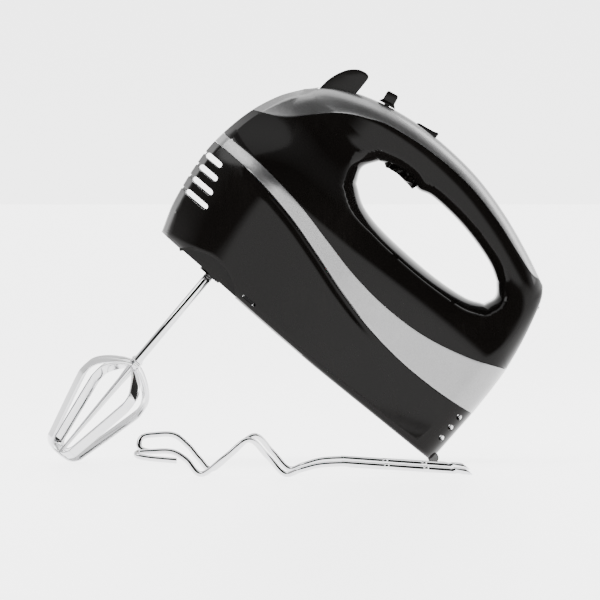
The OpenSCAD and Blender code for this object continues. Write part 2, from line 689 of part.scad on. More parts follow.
// ---- dough hooks: a wire bent into a wave that also winds round the hook's axis, in a crimped sleeve
hook_left = -162.5;
near_hook_y = -168;
far_hook_y = -120;
hook_floor = 0.3;
sleeve_start = 0.63 * hook_l;
sleeve_entry = 7.4;
// Distance from the tip, sideways offset, and height as a share of the wave's rise
near_path = [[23, -4, 0.4], [9, -4.2, 0.47], [2.8, -3, 0.53], [1.6, 0, 0.58], [2.8, 3, 0.62], [9, 4.2,
    0.64],
    [20, 4, 0.64], [28, 3, 0.4], [36, 0, 0], [48.5, -4, 0.5], [61, -2, 1], [71, 4, 0.5], [80, 3, 0],
    [88, 0, 0.12], [98, 0, 0.26]];
far_path = [[8, -3.5, 0.5], [2.6, -2, 0.6], [1.6, 0, 0.78], [3.5, 1.5, 0.94], [9, 2, 1], [20, 2, 1],
    [28, 1, 0.68], [34, 0, 0.3], [40.5, -1, 0], [51, -4, 0.45], [63.5, -1, 0.98], [73, 4, 0.5], [82, 3, 0],
    [90, 0, 0.12], [99, 0, 0.26]];
path_l = 178;
function tube_frame(p, i) =
    let (n = len(p), t = unit(p[min(i + 1, n - 1)] - p[max(i - 1, 0)]), s = unit(cross(t, [0.1, 1, 0.2])))
    [s, cross(t, s)];
module tube(p, r, sides = 12) {
    n = len(p);
    polyhedron(
        [for (i = [0:n - 1]) let (f = tube_frame(p, i)) for (k = [0:sides - 1])
            p[i] + r * (cos(360 * k / sides) * f[0] + sin(360 * k / sides) * f[1])],
        concat([[for (k = [0:sides - 1]) k]], [[for (k = [sides - 1:-1:0]) (n - 1) * sides + k]],
            [for (i = [0:n - 2]) for (k = [0:sides - 1])
                [i * sides + (k + 1) % sides, i * sides + k, (i + 1) * sides + k, (i + 1)
                    * sides + (k + 1) % sides]]));
}
// The sleeve's axis falls from the wave's end to where the sleeve rests on the surface
sleeve_end = hook_sleeve_d / 2 + hook_floor;
sleeve_fall = atan((sleeve_entry - sleeve_end) / (hook_l - sleeve_start));
function on_axis(a) = [a, 0, sleeve_entry - (a - sleeve_start) * tan(sleeve_fall)];
module hook_wire(path) {
    r = hook_wire_d / 2;
    bent = [for (q = path) [q[0] * hook_l / path_l, q[1], r + hook_floor + q[2] * hook_rise]];
    color(steel) tube(smooth(concat(bent, [on_axis(sleeve_start - 2), on_axis(sleeve_start + 3.8)]), 5), r);
}
module hook_sleeve() {
    l = (hook_l - sleeve_start) / cos(sleeve_fall);
    r = hook_sleeve_d / 2;
    entry = hook_wire_d / 2 + 0.1;
    groove = 0.6;
    color(steel) translate(on_axis(sleeve_start)) rotate([0, 90 + sleeve_fall, 0])
        rotate_extrude($fn = 40) polygon([[entry, 0], [r - 0.5, 0], [r, 0.6], [r, l - 9],
            [r - groove, l - 8.6], [r - groove, l - 6.6], [r, l - 6.2], [r, l - 0.6], [r - 0.5, l],
            [0, l], [0, 4], [entry, 4]]);
}
module near_hook() { translate([hook_left, near_hook_y, 0]) hook_wire(near_path); }
module near_hook_sleeve() { translate([hook_left, near_hook_y, 0]) hook_sleeve(); }
module far_hook() { translate([hook_left, far_hook_y, 0]) hook_wire(far_path); }
module far_hook_sleeve() { translate([hook_left, far_hook_y, 0]) hook_sleeve(); }

upper_housing();
lower_housing();
side_band();
top_cover();
heel_foot();
base_clip();
socket_collars();
base_screws();
gear_plate();
worm_bearing();
front_bracket();
front_bearing();
rear_bracket();
rear_bearing();
stator_core();
field_coils();
brush_holders();
carbon_brushes();
speed_switch();
turbo_switch();
circuit_board();
cord_bush();
cord_clamp();
motor_shaft();
rotor_core();
rotor_windings();
commutator();
cooling_fan();
worm();
left_worm_wheel();
left_drive_sleeve();
right_worm_wheel();
right_drive_sleeve();
left_beater_stem();
left_beater_outer_loop();
left_beater_inner_loop();
left_beater_cap();
right_beater_stem();
right_beater_outer_loop();
right_beater_inner_loop();
right_beater_cap();
eject_button();
eject_yoke();
eject_spring();
speed_slider();
slider_contact();
turbo_button();
near_hook();
near_hook_sleeve();
far_hook();
far_hook_sleeve();
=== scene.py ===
"""Hand mixer leaning on its heel and its beaters, with two dough hooks beside it."""

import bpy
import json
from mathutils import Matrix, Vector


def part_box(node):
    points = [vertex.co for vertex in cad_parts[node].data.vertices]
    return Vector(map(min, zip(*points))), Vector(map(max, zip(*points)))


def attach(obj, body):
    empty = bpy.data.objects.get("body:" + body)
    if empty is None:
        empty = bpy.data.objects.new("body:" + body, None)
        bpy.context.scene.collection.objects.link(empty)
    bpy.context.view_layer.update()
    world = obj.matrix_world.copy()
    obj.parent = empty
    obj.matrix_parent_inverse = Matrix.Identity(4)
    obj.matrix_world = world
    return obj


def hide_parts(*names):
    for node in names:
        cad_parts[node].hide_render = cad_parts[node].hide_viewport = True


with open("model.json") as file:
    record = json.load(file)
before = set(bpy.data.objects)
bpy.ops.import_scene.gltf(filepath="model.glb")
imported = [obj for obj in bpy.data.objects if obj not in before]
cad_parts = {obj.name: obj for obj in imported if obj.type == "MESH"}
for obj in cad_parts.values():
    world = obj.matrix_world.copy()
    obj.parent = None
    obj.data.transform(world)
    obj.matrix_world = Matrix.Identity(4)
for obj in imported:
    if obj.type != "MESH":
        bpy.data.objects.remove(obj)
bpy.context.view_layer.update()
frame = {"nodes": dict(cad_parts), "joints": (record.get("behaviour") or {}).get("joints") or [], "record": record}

import json
import math

import bmesh
import bpy
import numpy as np
from mathutils import Matrix, Vector

MM = 0.001

# ---- the leaning frame: x forward, y left and z up on the upright mixer, in millimetres


def joint(name):
    return next(j for j in frame["joints"] if j["name"] == name)


FORWARD = np.array(joint("motor_spin")["axis"])
UP = -np.array(joint("eject_push")["axis"])
LEFT = np.array([0.0, -1.0, 0.0])


def to_rest(points):
    """Upright millimetres to metres in the resting pose."""
    p = np.asarray(points, float)
    return MM * (p[..., :1] * FORWARD + p[..., 1:2] * LEFT + p[..., 2:] * UP)


def upright(place):
    """A place at rest, in metres, back to upright millimetres."""
    p = np.array(place) / MM
    return np.array([p @ FORWARD, p @ LEFT, p @ UP])


BACK = np.column_stack([FORWARD, LEFT, UP])


def points_of(obj):
    """An object's points in metres, along the upright mixer's axes."""
    return np.array([v.co for v in obj.data.vertices]) @ BACK


def put_points(obj, points):
    obj.data.vertices.foreach_set("co", np.ravel(points))
    obj.data.update()


def part_centre(name):
    low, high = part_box(name)
    return upright([(a + b) / 2 for a, b in zip(low, high)])


LEFT_DRIVE = upright(joint("left_drive_spin")["pos_m"])
BEATER_X, BEATER_Y, MOTOR_Z = LEFT_DRIVE

# ---- sizes, in millimetres
WIDTH = 84.0
HANDLE_WIDTH = 35.0
WALL = 2.4
SEAM = 0.14
PROUD = 0.2


# ---- curves


def curve(points, steps=12):
    """A smooth line through every point."""
    p = np.array(points, float)
    p = np.vstack([2 * p[0] - p[1], p, 2 * p[-1] - p[-2]])
    t = np.arange(steps)[:, None] / steps
    rows = []
    for a, b, c, d in zip(p, p[1:], p[2:], p[3:]):
        rows.append(0.5 * (2 * b + (c - a) * t + (2 * a - 5 * b + 4 * c - d) * t**2
                           + (3 * b - a - 3 * c + d) * t**3))
    return np.vstack(rows + [p[-2:-1]])


def lengths(line):
    return np.concatenate([[0], np.cumsum(np.linalg.norm(np.diff(line, axis=0), axis=1))])


def evenly(line, count):
    """The line again, as count points at equal distances."""
    s = lengths(line)
    t = np.linspace(0, s[-1], count)
    return np.stack([np.interp(t, s, line[:, k]) for k in range(line.shape[1])], axis=1)


def joined(*lines):
    """Lines laid end to end, each shared point kept once."""
    return np.vstack([lines[0]] + [line[1:] for line in lines[1:]])


def ease(x):
    t = np.clip(x, 0, 1)
    return t * t * (3 - 2 * t)


def bulge(x):
    t = np.clip(x, 0, 1)
    return np.sqrt(1 - (1 - t) ** 2)


def mix(a, b, t):
    return a + (b - a) * t


BASE = curve([[1.4, 0], [40, -0.7], [85, -1.5], [125, -1.2], [165, -0.2], [198.4, 0.3]])
NOSE = curve([[198.4, 0.3], [204.2, 18], [208, 42], [208.3, 60], [204.6, 82], [197.6, 100], [188.8, 113]])
TOP = curve([[188.8, 113], [177, 124], [158, 132.4], [136, 137.6], [112.8, 139.4], [84.8, 137.6],
             [58.8, 131.6], [34.8, 123], [15.8, 114.6]])
REAR = curve([[15.8, 114.6], [11, 106], [4.9, 83], [1.2, 58], [0.7, 40], [1.4, 0]])
HOLE_BASE = curve([[34.6, 85.8], [46, 81.4], [68.8, 79.2], [100.8, 80], [120, 83.4], [132.6, 91]])
HOLE_NOSE = curve([[132.6, 91], [136, 100], [131, 109]])
HOLE_TOP = curve([[131, 109], [122, 112.2], [112, 112.9], [103.8, 110.9], [95, 112.9], [76.8, 112],
                  [60, 109], [46, 104.8], [37.4, 100]])
HOLE_REAR = curve([[37.4, 100], [32.4, 93], [34.6, 85.8]])
HOLE = joined(HOLE_BASE, HOLE_NOSE, HOLE_TOP, HOLE_REAR)
BAND_TOP = curve([[-12, 70], [1.8, 66], [24.8, 56.8], [50.8, 50.6], [76.8, 49.2], [100.8, 51.4],
                  [124.8, 56.4], [150.8, 62], [180.8, 65.2], [208, 64.8], [222, 64.4]])
BAND_BASE = curve([[-12, 36], [1.2, 34.6], [24.8, 32], [50.8, 31.6], [76.8, 34.4], [100.8, 39.6],
                   [124.8, 46.6], [150.8, 53.4], [180.8, 57.8], [208, 58.4], [222, 58.4]])
COVER_EDGE = curve([[222, 74], [203.4, 85], [192.8, 90], [184.8, 95.6], [176.8, 104], [168.8, 112],
                    [160.8, 118], [150.8, 123], [138.8, 127.6], [112.8, 131.2], [84.8, 130.8],
                    [58.8, 125.6], [38.8, 119.4], [24.8, 115.6], [17, 117.5], [10, 122]])


def across(line, value, key):
    """The line's other coordinate where coordinate key is value."""
    order = np.argsort(line[:, key])
    return np.interp(value, line[order, key], line[order, 1 - key])


def crossing(a, b):
    """Where two lines cross."""
    for i in range(len(a) - 1):
        for j in range(len(b) - 1):
            m = np.array([a[i + 1] - a[i], b[j] - b[j + 1]]).T
            if abs(np.linalg.det(m)) < 1e-9:
                continue
            t = np.linalg.solve(m, b[j] - a[i])
            if (t >= 0).all() and (t <= 1).all():
                return a[i] + t[0] * (a[i + 1] - a[i])
    raise ValueError("the lines don't cross")


def part_of(line, start, end):
    """The stretch of a line between the points nearest to start and end, ending exactly there."""
    i = np.argmin(np.linalg.norm(line - start, axis=1))
    j = np.argmin(np.linalg.norm(line - end, axis=1))
    middle = line[i + 1:j] if i < j else line[j + 1:i][::-1]
    return np.vstack([[start], middle, [end]])


def moved(line, distance):
    """A line moved sideways, to its left for a positive distance."""
    t = np.gradient(line, axis=0)
    t /= np.linalg.norm(t, axis=1)[:, None]
    return line + distance * np.stack([-t[:, 1], t[:, 0]], axis=1)


# ---- the housing's form
NOSE_CREASE, NOSE_ROUND = 4.0, 44.0
REAR_ROUND, TOP_ROUND, BASE_ROUND = 14.0, 13.0, 4.0


def half_width(x, z):
    """Half the housing's width at a point of its side view, before its edges are rounded."""
    body = WIDTH / 2 * mix(0.82, 1, ease(x / 110))
    return mix(body, HANDLE_WIDTH / 2, ease((z - 60) / 48))


def nose_form(d):
    flat = mix(0.22, 0.5, np.clip(d, 0, None) / NOSE_CREASE)
    side = 0.5 + 0.5 * np.sin(math.pi / 2 * np.clip((d - NOSE_CREASE) / (NOSE_ROUND - NOSE_CREASE), 0, 1))
    return np.where(d < NOSE_CREASE, flat, side)


def hole_form(x, z, d):
    """The flare round the finger opening: a rounded lip that ends at a crease."""
    wide = mix(9.0, 13.5, ease((x - 105) / 30) * ease((118 - z) / 14)) + 1.5 * ease((60 - x) / 25)
    return np.minimum(1, 1.05 * mix(0.3, 1, bulge(d / wide * 1.02)))


def ridge_form(x, z):
    """The soft ridge that runs along under the silver band, and the facet under the nose."""
    gap = across(BAND_BASE, x, 0) - z
    along = ease((x - 62) / 30) * ease((188 - x) / 12)
    recess = -0.9 * along * (1 - ease((gap - 1.5) / 3.2)) * (gap > -0.5)
    chin = np.clip(across(CHIN, x, 0) - z, 0, None) * 0.28 * ease((x - 140) / 8)
    return recess - chin


CHIN = curve([[100, -4], [142, -2], [152, 6.2], [165, 9.4], [176, 7.4], [198.4, 0.3], [210, -2]])


def form(x, z, from_hole):
    y = half_width(x, z)
    y = y * nose_form(across(NOSE, z, 1) - x)
    y = y * mix(0.45, 1, bulge((x - across(REAR, z, 1)) / REAR_ROUND))
    y = y * mix(0.2, 1, bulge((across(TOP, x, 0) - z) / TOP_ROUND))
    y = y * mix(0.9, 1, bulge((z - across(BASE, x, 0)) / BASE_ROUND))
    return y * hole_form(x, z, from_hole) + ridge_form(x, z)


def hole_distance(p):
    """Distance of each point from the finger opening's edge."""
    line = evenly(HOLE, 500)
    start, step = line[:-1], np.diff(line, axis=0)
    nearest = []
    for part in np.array_split(p.reshape(-1, 2), 60):
        off = part[:, None] - start[None]
        share = np.clip((off * step).sum(axis=2) / (step ** 2).sum(axis=1), 0, 1)
        nearest.append(np.linalg.norm(off - share[..., None] * step, axis=2).min(axis=1))
    return np.concatenate(nearest).reshape(p.shape[:-1])


# ---- mesh helpers


def make_object(name, vertices, faces, at_rest=False):
    mesh = bpy.data.meshes.new(name)
    points = vertices if at_rest else to_rest(vertices)
    mesh.from_pydata([tuple(v) for v in points], [], [tuple(int(i) for i in f) for f in faces])
    obj = bpy.data.objects.new(name, mesh)
    bpy.context.scene.collection.objects.link(obj)
    return obj


def tidy(obj, distance=1e-6, outward=True):
    """Merges doubles, drops empty faces and turns the faces outwards."""
    bm = bmesh.new()
    bm.from_mesh(obj.data)
    bmesh.ops.remove_doubles(bm, verts=bm.verts, dist=distance)
    bmesh.ops.dissolve_degenerate(bm, edges=bm.edges, dist=distance)
    if outward:
        bmesh.ops.recalc_face_normals(bm, faces=bm.faces)
    bm.to_mesh(obj.data)
    bm.free()


def shade(obj, angle=28):
    """Smooth shading with edges sharper than the angle left crisp."""
    bm = bmesh.new()
    bm.from_mesh(obj.data)
    limit = math.radians(angle)
    for f in bm.faces:
        f.smooth = True
    for e in bm.edges:
        e.smooth = len(e.link_faces) == 2 and e.calc_face_angle(0) < limit
    bm.to_mesh(obj.data)
    bm.free()


def apply(obj):
    """Turns an object and its modifiers into a plain mesh."""
    deps = bpy.context.evaluated_depsgraph_get()
    mesh = bpy.data.meshes.new_from_object(obj.evaluated_get(deps))
    obj.modifiers.clear()
    obj.data = mesh
    obj.data.name = obj.name


def thicken(obj, wall, even=True):
    """Gives a surface whose faces point outwards its wall, on the inside."""
    m = obj.modifiers.new("wall", "SOLIDIFY")
    m.thickness = wall * MM
    m.offset = -1
    m.use_even_offset = even
    apply(obj)


def round_edges(obj, radius, segments=3, angle=38):
    m = obj.modifiers.new("edges", "BEVEL")
    m.width = radius * MM
    m.segments = segments
    m.limit_method = "ANGLE"
    m.angle_limit = math.radians(angle)
    m.use_clamp_overlap = True
    apply(obj)


def cut_away(obj, cutter):
    m = obj.modifiers.new("cut", "BOOLEAN")
    m.object = cutter
    m.operation = "DIFFERENCE"
    m.solver = "MANIFOLD"
    apply(obj)
    obj.data.materials.clear()
    obj.data.polygons.foreach_set("material_index", [0] * len(obj.data.polygons))
    bpy.data.objects.remove(cutter)


def mirrored_shell(name, grid, keep):
    """A shell from one half: grid is rows of points with y above 0, keep says which cells it has."""
    rows, columns = grid.shape[:2]
    half = grid.reshape(-1, 3)
    vertices = np.vstack([half, half * [1, -1, 1]])
    faces = []
    for i in range(rows - 1):
        for j in range(columns - 1):
            if keep[i, j]:
                a, b = i * columns + j, (i + 1) * columns + j
                faces.append((a, a + 1, b + 1, b))
                faces.append(tuple(len(half) + k for k in (a, b, b + 1, a + 1)))
    obj = make_object(name, vertices, faces)
    tidy(obj, 2e-6, outward=False)
    return obj


def face_outward(obj):
    """Turns an open shell so that its broad sides point away from the middle plane."""
    bm = bmesh.new()
    bm.from_mesh(obj.data)
    bmesh.ops.recalc_face_normals(bm, faces=bm.faces)
    sideways = sum(f.normal.y * f.calc_center_median().y * f.calc_area() for f in bm.faces)
    if sideways < 0:
        bmesh.ops.reverse_faces(bm, faces=bm.faces)
    bm.to_mesh(obj.data)
    bm.free()


RIM_STEPS = 7


def sheet(inner, outer, rows, silhouette, extra=0.0, inner_silhouette=False, clustered=0.0):
    """Half a moulding between two side-view lines of equally many points.

    silhouette says for each column whether its outer end lies on the mixer's outline, where the
    surface goes on across to the middle plane. clustered draws the rows towards both lines.
    """
    even = np.linspace(0, 1, rows)
    t = mix(even, (1 - np.cos(math.pi * even)) / 2, clustered)[None, :, None]
    p = mix(inner[:, None], outer[:, None], t)
    y = form(p[..., 0], p[..., 1], hole_distance(p)) + extra
    grid = np.stack([p[..., 0], y, p[..., 1]], axis=2)
    keep = np.ones((len(inner) - 1, rows - 1), bool)
    fractions = np.linspace(1, 0, RIM_STEPS)[1:]

    def rim(edge):
        return np.stack([edge * [1, f, 1] for f in fractions], axis=1)

    rim_cells = (silhouette[:-1] & silhouette[1:])[:, None].repeat(RIM_STEPS - 1, axis=1)
    grid_out = np.concatenate([grid, rim(grid[:, -1])], axis=1)
    keep = np.concatenate([keep, rim_cells], axis=1)
    if inner_silhouette:
        grid_out = np.concatenate([rim(grid[:, 0])[:, ::-1], grid_out], axis=1)
        keep = np.concatenate([np.ones_like(rim_cells), keep], axis=1)
    return grid_out, keep


def moulding(name, grid, keep, even=True):
    """A shell of the housing's wall thickness, made from one half."""
    obj = mirrored_shell(name, grid, keep)
    face_outward(obj)
    thicken(obj, WALL, even)
    return obj


# ---- materials
def group_tree(name, kind, inputs, outputs):
    """An empty node group with its named inputs and outputs, and its two end nodes."""
    tree = bpy.data.node_groups.new(name, kind)
    for way, sockets in (("INPUT", inputs), ("OUTPUT", outputs)):
        for label, sort, *value in sockets:
            socket = tree.interface.new_socket(label, in_out=way, socket_type="NodeSocket" + sort)
            if value:
                socket.default_value = value[0]
    return tree, tree.nodes.new("NodeGroupInput"), tree.nodes.new("NodeGroupOutput")


def shading_group(name, inputs, outputs):
    return group_tree(name, "ShaderNodeTree", inputs, outputs)


def node(tree, kind, inputs=None, **settings):
    """A node with its settings, and its inputs set to values or linked to sockets."""
    made = tree.nodes.new(kind)
    for key, value in settings.items():
        setattr(made, key, value)
    for key, value in (inputs or {}).items():
        if isinstance(value, bpy.types.NodeSocket):
            tree.links.new(value, made.inputs[key])
        else:
            made.inputs[key].default_value = value
    return made


def calculate(tree, operation, a, b=0.0, clamp=False):
    return node(tree, "ShaderNodeMath", {0: a, 1: b}, operation=operation, use_clamp=clamp).outputs[0]


def remap(tree, value, low, high, to_low, to_high):
    made = node(tree, "ShaderNodeMapRange", {"Value": value, "From Min": low, "From Max": high,
                                             "To Min": to_low, "To Max": to_high})
    return made.outputs["Result"]


def stretched(tree, vector, scale):
    return node(tree, "ShaderNodeMapping", {"Vector": vector, "Scale": scale}).outputs["Vector"]


def noise(tree, vector, scale, detail=3.0, roughness=0.5):
    return node(tree, "ShaderNodeTexNoise", {"Vector": vector, "Scale": scale, "Detail": detail,
                                             "Roughness": roughness}).outputs["Fac"]


def handling_group():
    """Where hands and cloths have touched a surface: soft smudges, and fine hairline scratches."""
    tree, start, end = shading_group("handling", [("Vector", "Vector"), ("Size", "Float", 1.0)],
                                     [("Smudges", "Float"), ("Hairlines", "Float")])
    place = node(tree, "ShaderNodeVectorMath", {0: start.outputs["Vector"], "Scale": start.outputs["Size"]},
                 operation="SCALE").outputs["Vector"]
    broad = remap(tree, noise(tree, place, 28.0, 4.0, 0.6), 0.46, 0.7, 0.0, 1.0)
    streaks = noise(tree, stretched(tree, place, (3.0, 1.0, 0.35)), 160.0, 5.0, 0.65)
    wiped = remap(tree, streaks, 0.4, 0.72, 0.0, 1.0)
    tree.links.new(calculate(tree, "MULTIPLY", broad, wiped, True), end.inputs["Smudges"])
    one = noise(tree, stretched(tree, place, (40.0, 2.0, 3.0)), 60.0, 2.0)
    two = noise(tree, stretched(tree, place, (3.0, 2.0, 36.0)), 55.0, 2.0)
    fine = calculate(tree, "MAXIMUM", remap(tree, one, 0.66, 0.74, 0.0, 1.0),
                     remap(tree, two, 0.67, 0.75, 0.0, 1.0))
    tree.links.new(calculate(tree, "MULTIPLY", fine, broad, True), end.inputs["Hairlines"])
    return tree


def moulded_group():
    """The skin of a moulded or sprayed surface: a slow ripple and a fine peel, as a normal."""
    tree, start, end = shading_group(
        "moulded_skin", [("Vector", "Vector"), ("Grain", "Float", 1400.0), ("Depth", "Float", 0.00001)],
        [("Normal", "Vector"), ("Height", "Float")])
    peel = node(tree, "ShaderNodeTexNoise", {"Vector": start.outputs["Vector"], "Scale": start.outputs["Grain"],
                                             "Detail": 2.0}).outputs["Fac"]
    ripple = noise(tree, start.outputs["Vector"], 90.0, 1.0)
    height = calculate(tree, "ADD", peel, calculate(tree, "MULTIPLY", ripple, 1.5))
    bump = node(tree, "ShaderNodeBump", {"Height": height, "Strength": 1.0,
                                         "Distance": start.outputs["Depth"]})
    tree.links.new(bump.outputs["Normal"], end.inputs["Normal"])
    tree.links.new(height, end.inputs["Height"])
    return tree


def worn_edges_group():
    """Outer edges, rubbed by use, and inner corners, which hold a little dust on black plastic and carry painted
    shade on silver and nylon.
    """
    tree, start, end = shading_group("worn_edges", [("Vector", "Vector")],
                                     [("Edges", "Float"), ("Corners", "Float")])
    sharp = tree.nodes.new("ShaderNodeNewGeometry").outputs["Pointiness"]
    patchy = noise(tree, start.outputs["Vector"], 210.0, 4.0, 0.7)
    edges = calculate(tree, "MULTIPLY", remap(tree, sharp, 0.53, 0.62, 0.0, 1.0), patchy, True)
    # inner-corner mask: lighter dust on black plastic, painted shade where it darkens silver and nylon
    corners = calculate(tree, "MULTIPLY", remap(tree, sharp, 0.47, 0.38, 0.0, 1.0), patchy, True)
    tree.links.new(edges, end.inputs["Edges"])
    tree.links.new(corners, end.inputs["Corners"])
    return tree


def tooling_group():
    """Fine parallel lines left by drawing, rolling or turning, as a mask and a normal."""
    tree, start, end = shading_group(
        "tooling_lines", [("Vector", "Vector"), ("Along", "Vector", (1.0, 30.0, 30.0)),
                          ("Depth", "Float", 0.000004)],
        [("Lines", "Float"), ("Normal", "Vector")])
    place = stretched(tree, start.outputs["Vector"], start.outputs["Along"])
    lines = noise(tree, place, 90.0, 5.0, 0.7)
    bump = node(tree, "ShaderNodeBump", {"Height": lines, "Strength": 0.7, "Distance": start.outputs["Depth"]})
    tree.links.new(lines, end.inputs["Lines"])
    tree.links.new(bump.outputs["Normal"], end.inputs["Normal"])
    return tree


HANDLING = handling_group()
MOULDED = moulded_group()
WEAR_DUST_AND_SHADE = worn_edges_group()
TOOLING = tooling_group()


class Finish:
    """One material being made: its tree, its shader and the object's own coordinates."""

    def __init__(self, name, **fixed):
        self.material = bpy.data.materials.new(name)
        self.material.use_nodes = True
        self.tree = self.material.node_tree
        self.shader = self.tree.nodes["Principled BSDF"]
        self.place = self.tree.nodes.new("ShaderNodeTexCoord").outputs["Object"]
        for key, value in fixed.items():
            self.shader.inputs[key.replace("_", " ")].default_value = value

    def group(self, tree, **inputs):
        made = node(self.tree, "ShaderNodeGroup", node_tree=tree)
        self.tree.links.new(self.place, made.inputs["Vector"])
        for key, value in inputs.items():
            made.inputs[key].default_value = value
        return made.outputs

    def noise(self, scale, detail=3.0, roughness=0.5, stretch=None):
        vector = stretched(self.tree, self.place, stretch) if stretch else self.place
        return noise(self.tree, vector, scale, detail, roughness)

    def blend(self, factor, a, b):
        made = node(self.tree, "ShaderNodeMix", {"Factor": factor}, data_type="RGBA")
        for socket, value in ((made.inputs[6], a), (made.inputs[7], b)):
            if isinstance(value, bpy.types.NodeSocket):
                self.tree.links.new(value, socket)
            else:
                socket.default_value = (*value, 1.0)
        return made.outputs[2]

    def remap(self, value, *limits):
        return remap(self.tree, value, *limits)

    def patchy(self, scale, low, high):
        """A value that wanders between low and high over the surface."""
        return self.remap(self.noise(scale), 0.3, 0.7, low, high)

    def sum(self, *values):
        total = values[0]
        for value in values[1:]:
            total = calculate(self.tree, "ADD", total, value)
        return total

    def times(self, value, factor):
        return calculate(self.tree, "MULTIPLY", value, factor)

    def bump(self, height, depth, normal=None, strength=1.0):
        made = node(self.tree, "ShaderNodeBump", {"Height": height, "Distance": depth, "Strength": strength})
        if normal is not None:
            self.tree.links.new(normal, made.inputs["Normal"])
        return made.outputs["Normal"]

    def link(self, **outputs):
        for key, value in outputs.items():
            self.tree.links.new(value, self.shader.inputs[key.replace("_", " ")])
        return self.material


def black_gloss():
    """Polished black plastic, with the ripple of its mould, smudges and fine wiping scratches."""
    f = Finish("black_gloss", IOR=1.42, Coat_Weight=0.0, Specular_IOR_Level=0.13)
    touched = f.group(HANDLING, Size=1.0)
    wear_dust_shade = f.group(WEAR_DUST_AND_SHADE)
    skin = f.group(MOULDED, Grain=900.0, Depth=0.000006)
    colour = f.blend(f.noise(14.0), (0.0022, 0.0019, 0.0017), (0.0038, 0.0033, 0.003))
    colour = f.blend(f.times(touched["Smudges"], 0.35), colour, (0.008, 0.007, 0.0062))
    colour = f.blend(f.times(wear_dust_shade["Corners"], 0.3), colour, (0.02, 0.019, 0.017))
    rough = f.sum(f.patchy(45.0, 0.07, 0.1), f.times(touched["Smudges"], 0.13),
                  f.times(touched["Hairlines"], 0.16), f.times(wear_dust_shade["Edges"], 0.1))
    return f.link(Base_Color=colour, Roughness=rough, Normal=skin["Normal"])


def silver_paint():
    """Satin silver lacquer: metal flakes in a clear coat."""
    f = Finish("silver_paint", Metallic=0.92, Coat_Weight=0.55, Coat_Roughness=0.12)
    touched = f.group(HANDLING, Size=1.3)
    wear_dust_shade = f.group(WEAR_DUST_AND_SHADE)
    skin = f.group(MOULDED, Grain=1100.0, Depth=0.000006)
    flakes = node(f.tree, "ShaderNodeTexVoronoi", {"Vector": f.place, "Scale": 5200.0})
    sparkle = node(f.tree, "ShaderNodeSeparateColor", {"Color": flakes.outputs["Color"]})
    tone = f.blend(f.noise(20.0), (0.15, 0.15, 0.152), (0.19, 0.189, 0.187))
    tone = f.blend(f.times(sparkle.outputs[0], 0.35), tone, (0.34, 0.34, 0.346))
    # painted shade: inner corners darkened
    tone = f.blend(f.times(wear_dust_shade["Corners"], 0.4), tone, (0.08, 0.078, 0.076))
    rough = f.sum(f.patchy(60.0, 0.27, 0.33), f.times(sparkle.outputs[1], 0.06),
                  f.times(touched["Smudges"], 0.1), f.times(touched["Hairlines"], 0.08))
    normal = f.bump(sparkle.outputs[2], 0.0000035, skin["Normal"])
    return f.link(Base_Color=tone, Roughness=rough, Normal=normal)


def chrome_steel():
    """Plated steel, polished bright, with faint drawing lines, water spots and fine scratches."""
    f = Finish("chrome_steel", Metallic=1.0)
    touched = f.group(HANDLING, Size=2.0)
    drawn = f.group(TOOLING, Along=(3.0, 26.0, 3.0), Depth=0.0000012)
    spots = node(f.tree, "ShaderNodeTexVoronoi", {"Vector": f.place, "Scale": 420.0})
    spot = f.remap(spots.outputs["Distance"], 0.1, 0.18, 1.0, 0.0)
    tone = f.blend(f.noise(35.0), (0.56, 0.56, 0.57), (0.64, 0.64, 0.65))
    tone = f.blend(f.times(touched["Smudges"], 0.3), tone, (0.48, 0.47, 0.46))
    rough = f.sum(f.remap(drawn["Lines"], 0.3, 0.7, 0.05, 0.1), f.times(touched["Smudges"], 0.12),
                  f.times(touched["Hairlines"], 0.14), f.times(spot, 0.03))
    return f.link(Base_Color=tone, Roughness=rough, Normal=drawn["Normal"])


def machined_steel():
    """Turned steel with a film of oil."""
    f = Finish("machined_steel", Metallic=1.0, Anisotropic=0.4)
    lines = f.group(TOOLING, Along=(30.0, 30.0, 4.0), Depth=0.000006)
    wear_dust_shade = f.group(WEAR_DUST_AND_SHADE)
    tone = f.blend(lines["Lines"], (0.36, 0.36, 0.37), (0.56, 0.56, 0.57))
    tone = f.blend(wear_dust_shade["Edges"], tone, (0.72, 0.72, 0.72))
    rough = f.sum(f.remap(lines["Lines"], 0.3, 0.7, 0.24, 0.4), f.times(f.noise(40.0), 0.08))
    return f.link(Base_Color=tone, Roughness=rough, Normal=lines["Normal"])


def foot_rubber():
    """Soft black rubber, matt and a little dusty in its pores."""
    f = Finish("foot_rubber", IOR=1.45, Sheen_Weight=0.15, Sheen_Roughness=0.5)
    skin = f.group(MOULDED, Grain=2600.0, Depth=0.00004)
    wear_dust_shade = f.group(WEAR_DUST_AND_SHADE)
    tone = f.blend(f.noise(240.0, 5.0, 0.7), (0.018, 0.018, 0.018), (0.04, 0.039, 0.038))
    tone = f.blend(wear_dust_shade["Edges"], tone, (0.11, 0.11, 0.11))
    return f.link(Base_Color=tone, Roughness=f.patchy(300.0, 0.66, 0.85), Normal=skin["Normal"])


def nylon():
    """Milky moulded nylon, which light enters a little way."""
    f = Finish("nylon", IOR=1.53, Subsurface_Weight=0.25, Subsurface_Scale=0.002)
    skin = f.group(MOULDED, Grain=1900.0, Depth=0.00002)
    wear_dust_shade = f.group(WEAR_DUST_AND_SHADE)
    tone = f.blend(f.noise(70.0, 4.0, 0.6), (0.62, 0.59, 0.5), (0.74, 0.72, 0.64))
    # painted shade: inner corners darkened
    tone = f.blend(wear_dust_shade["Corners"], tone, (0.36, 0.33, 0.27))
    return f.link(Base_Color=tone, Roughness=f.patchy(500.0, 0.38, 0.52), Normal=skin["Normal"])


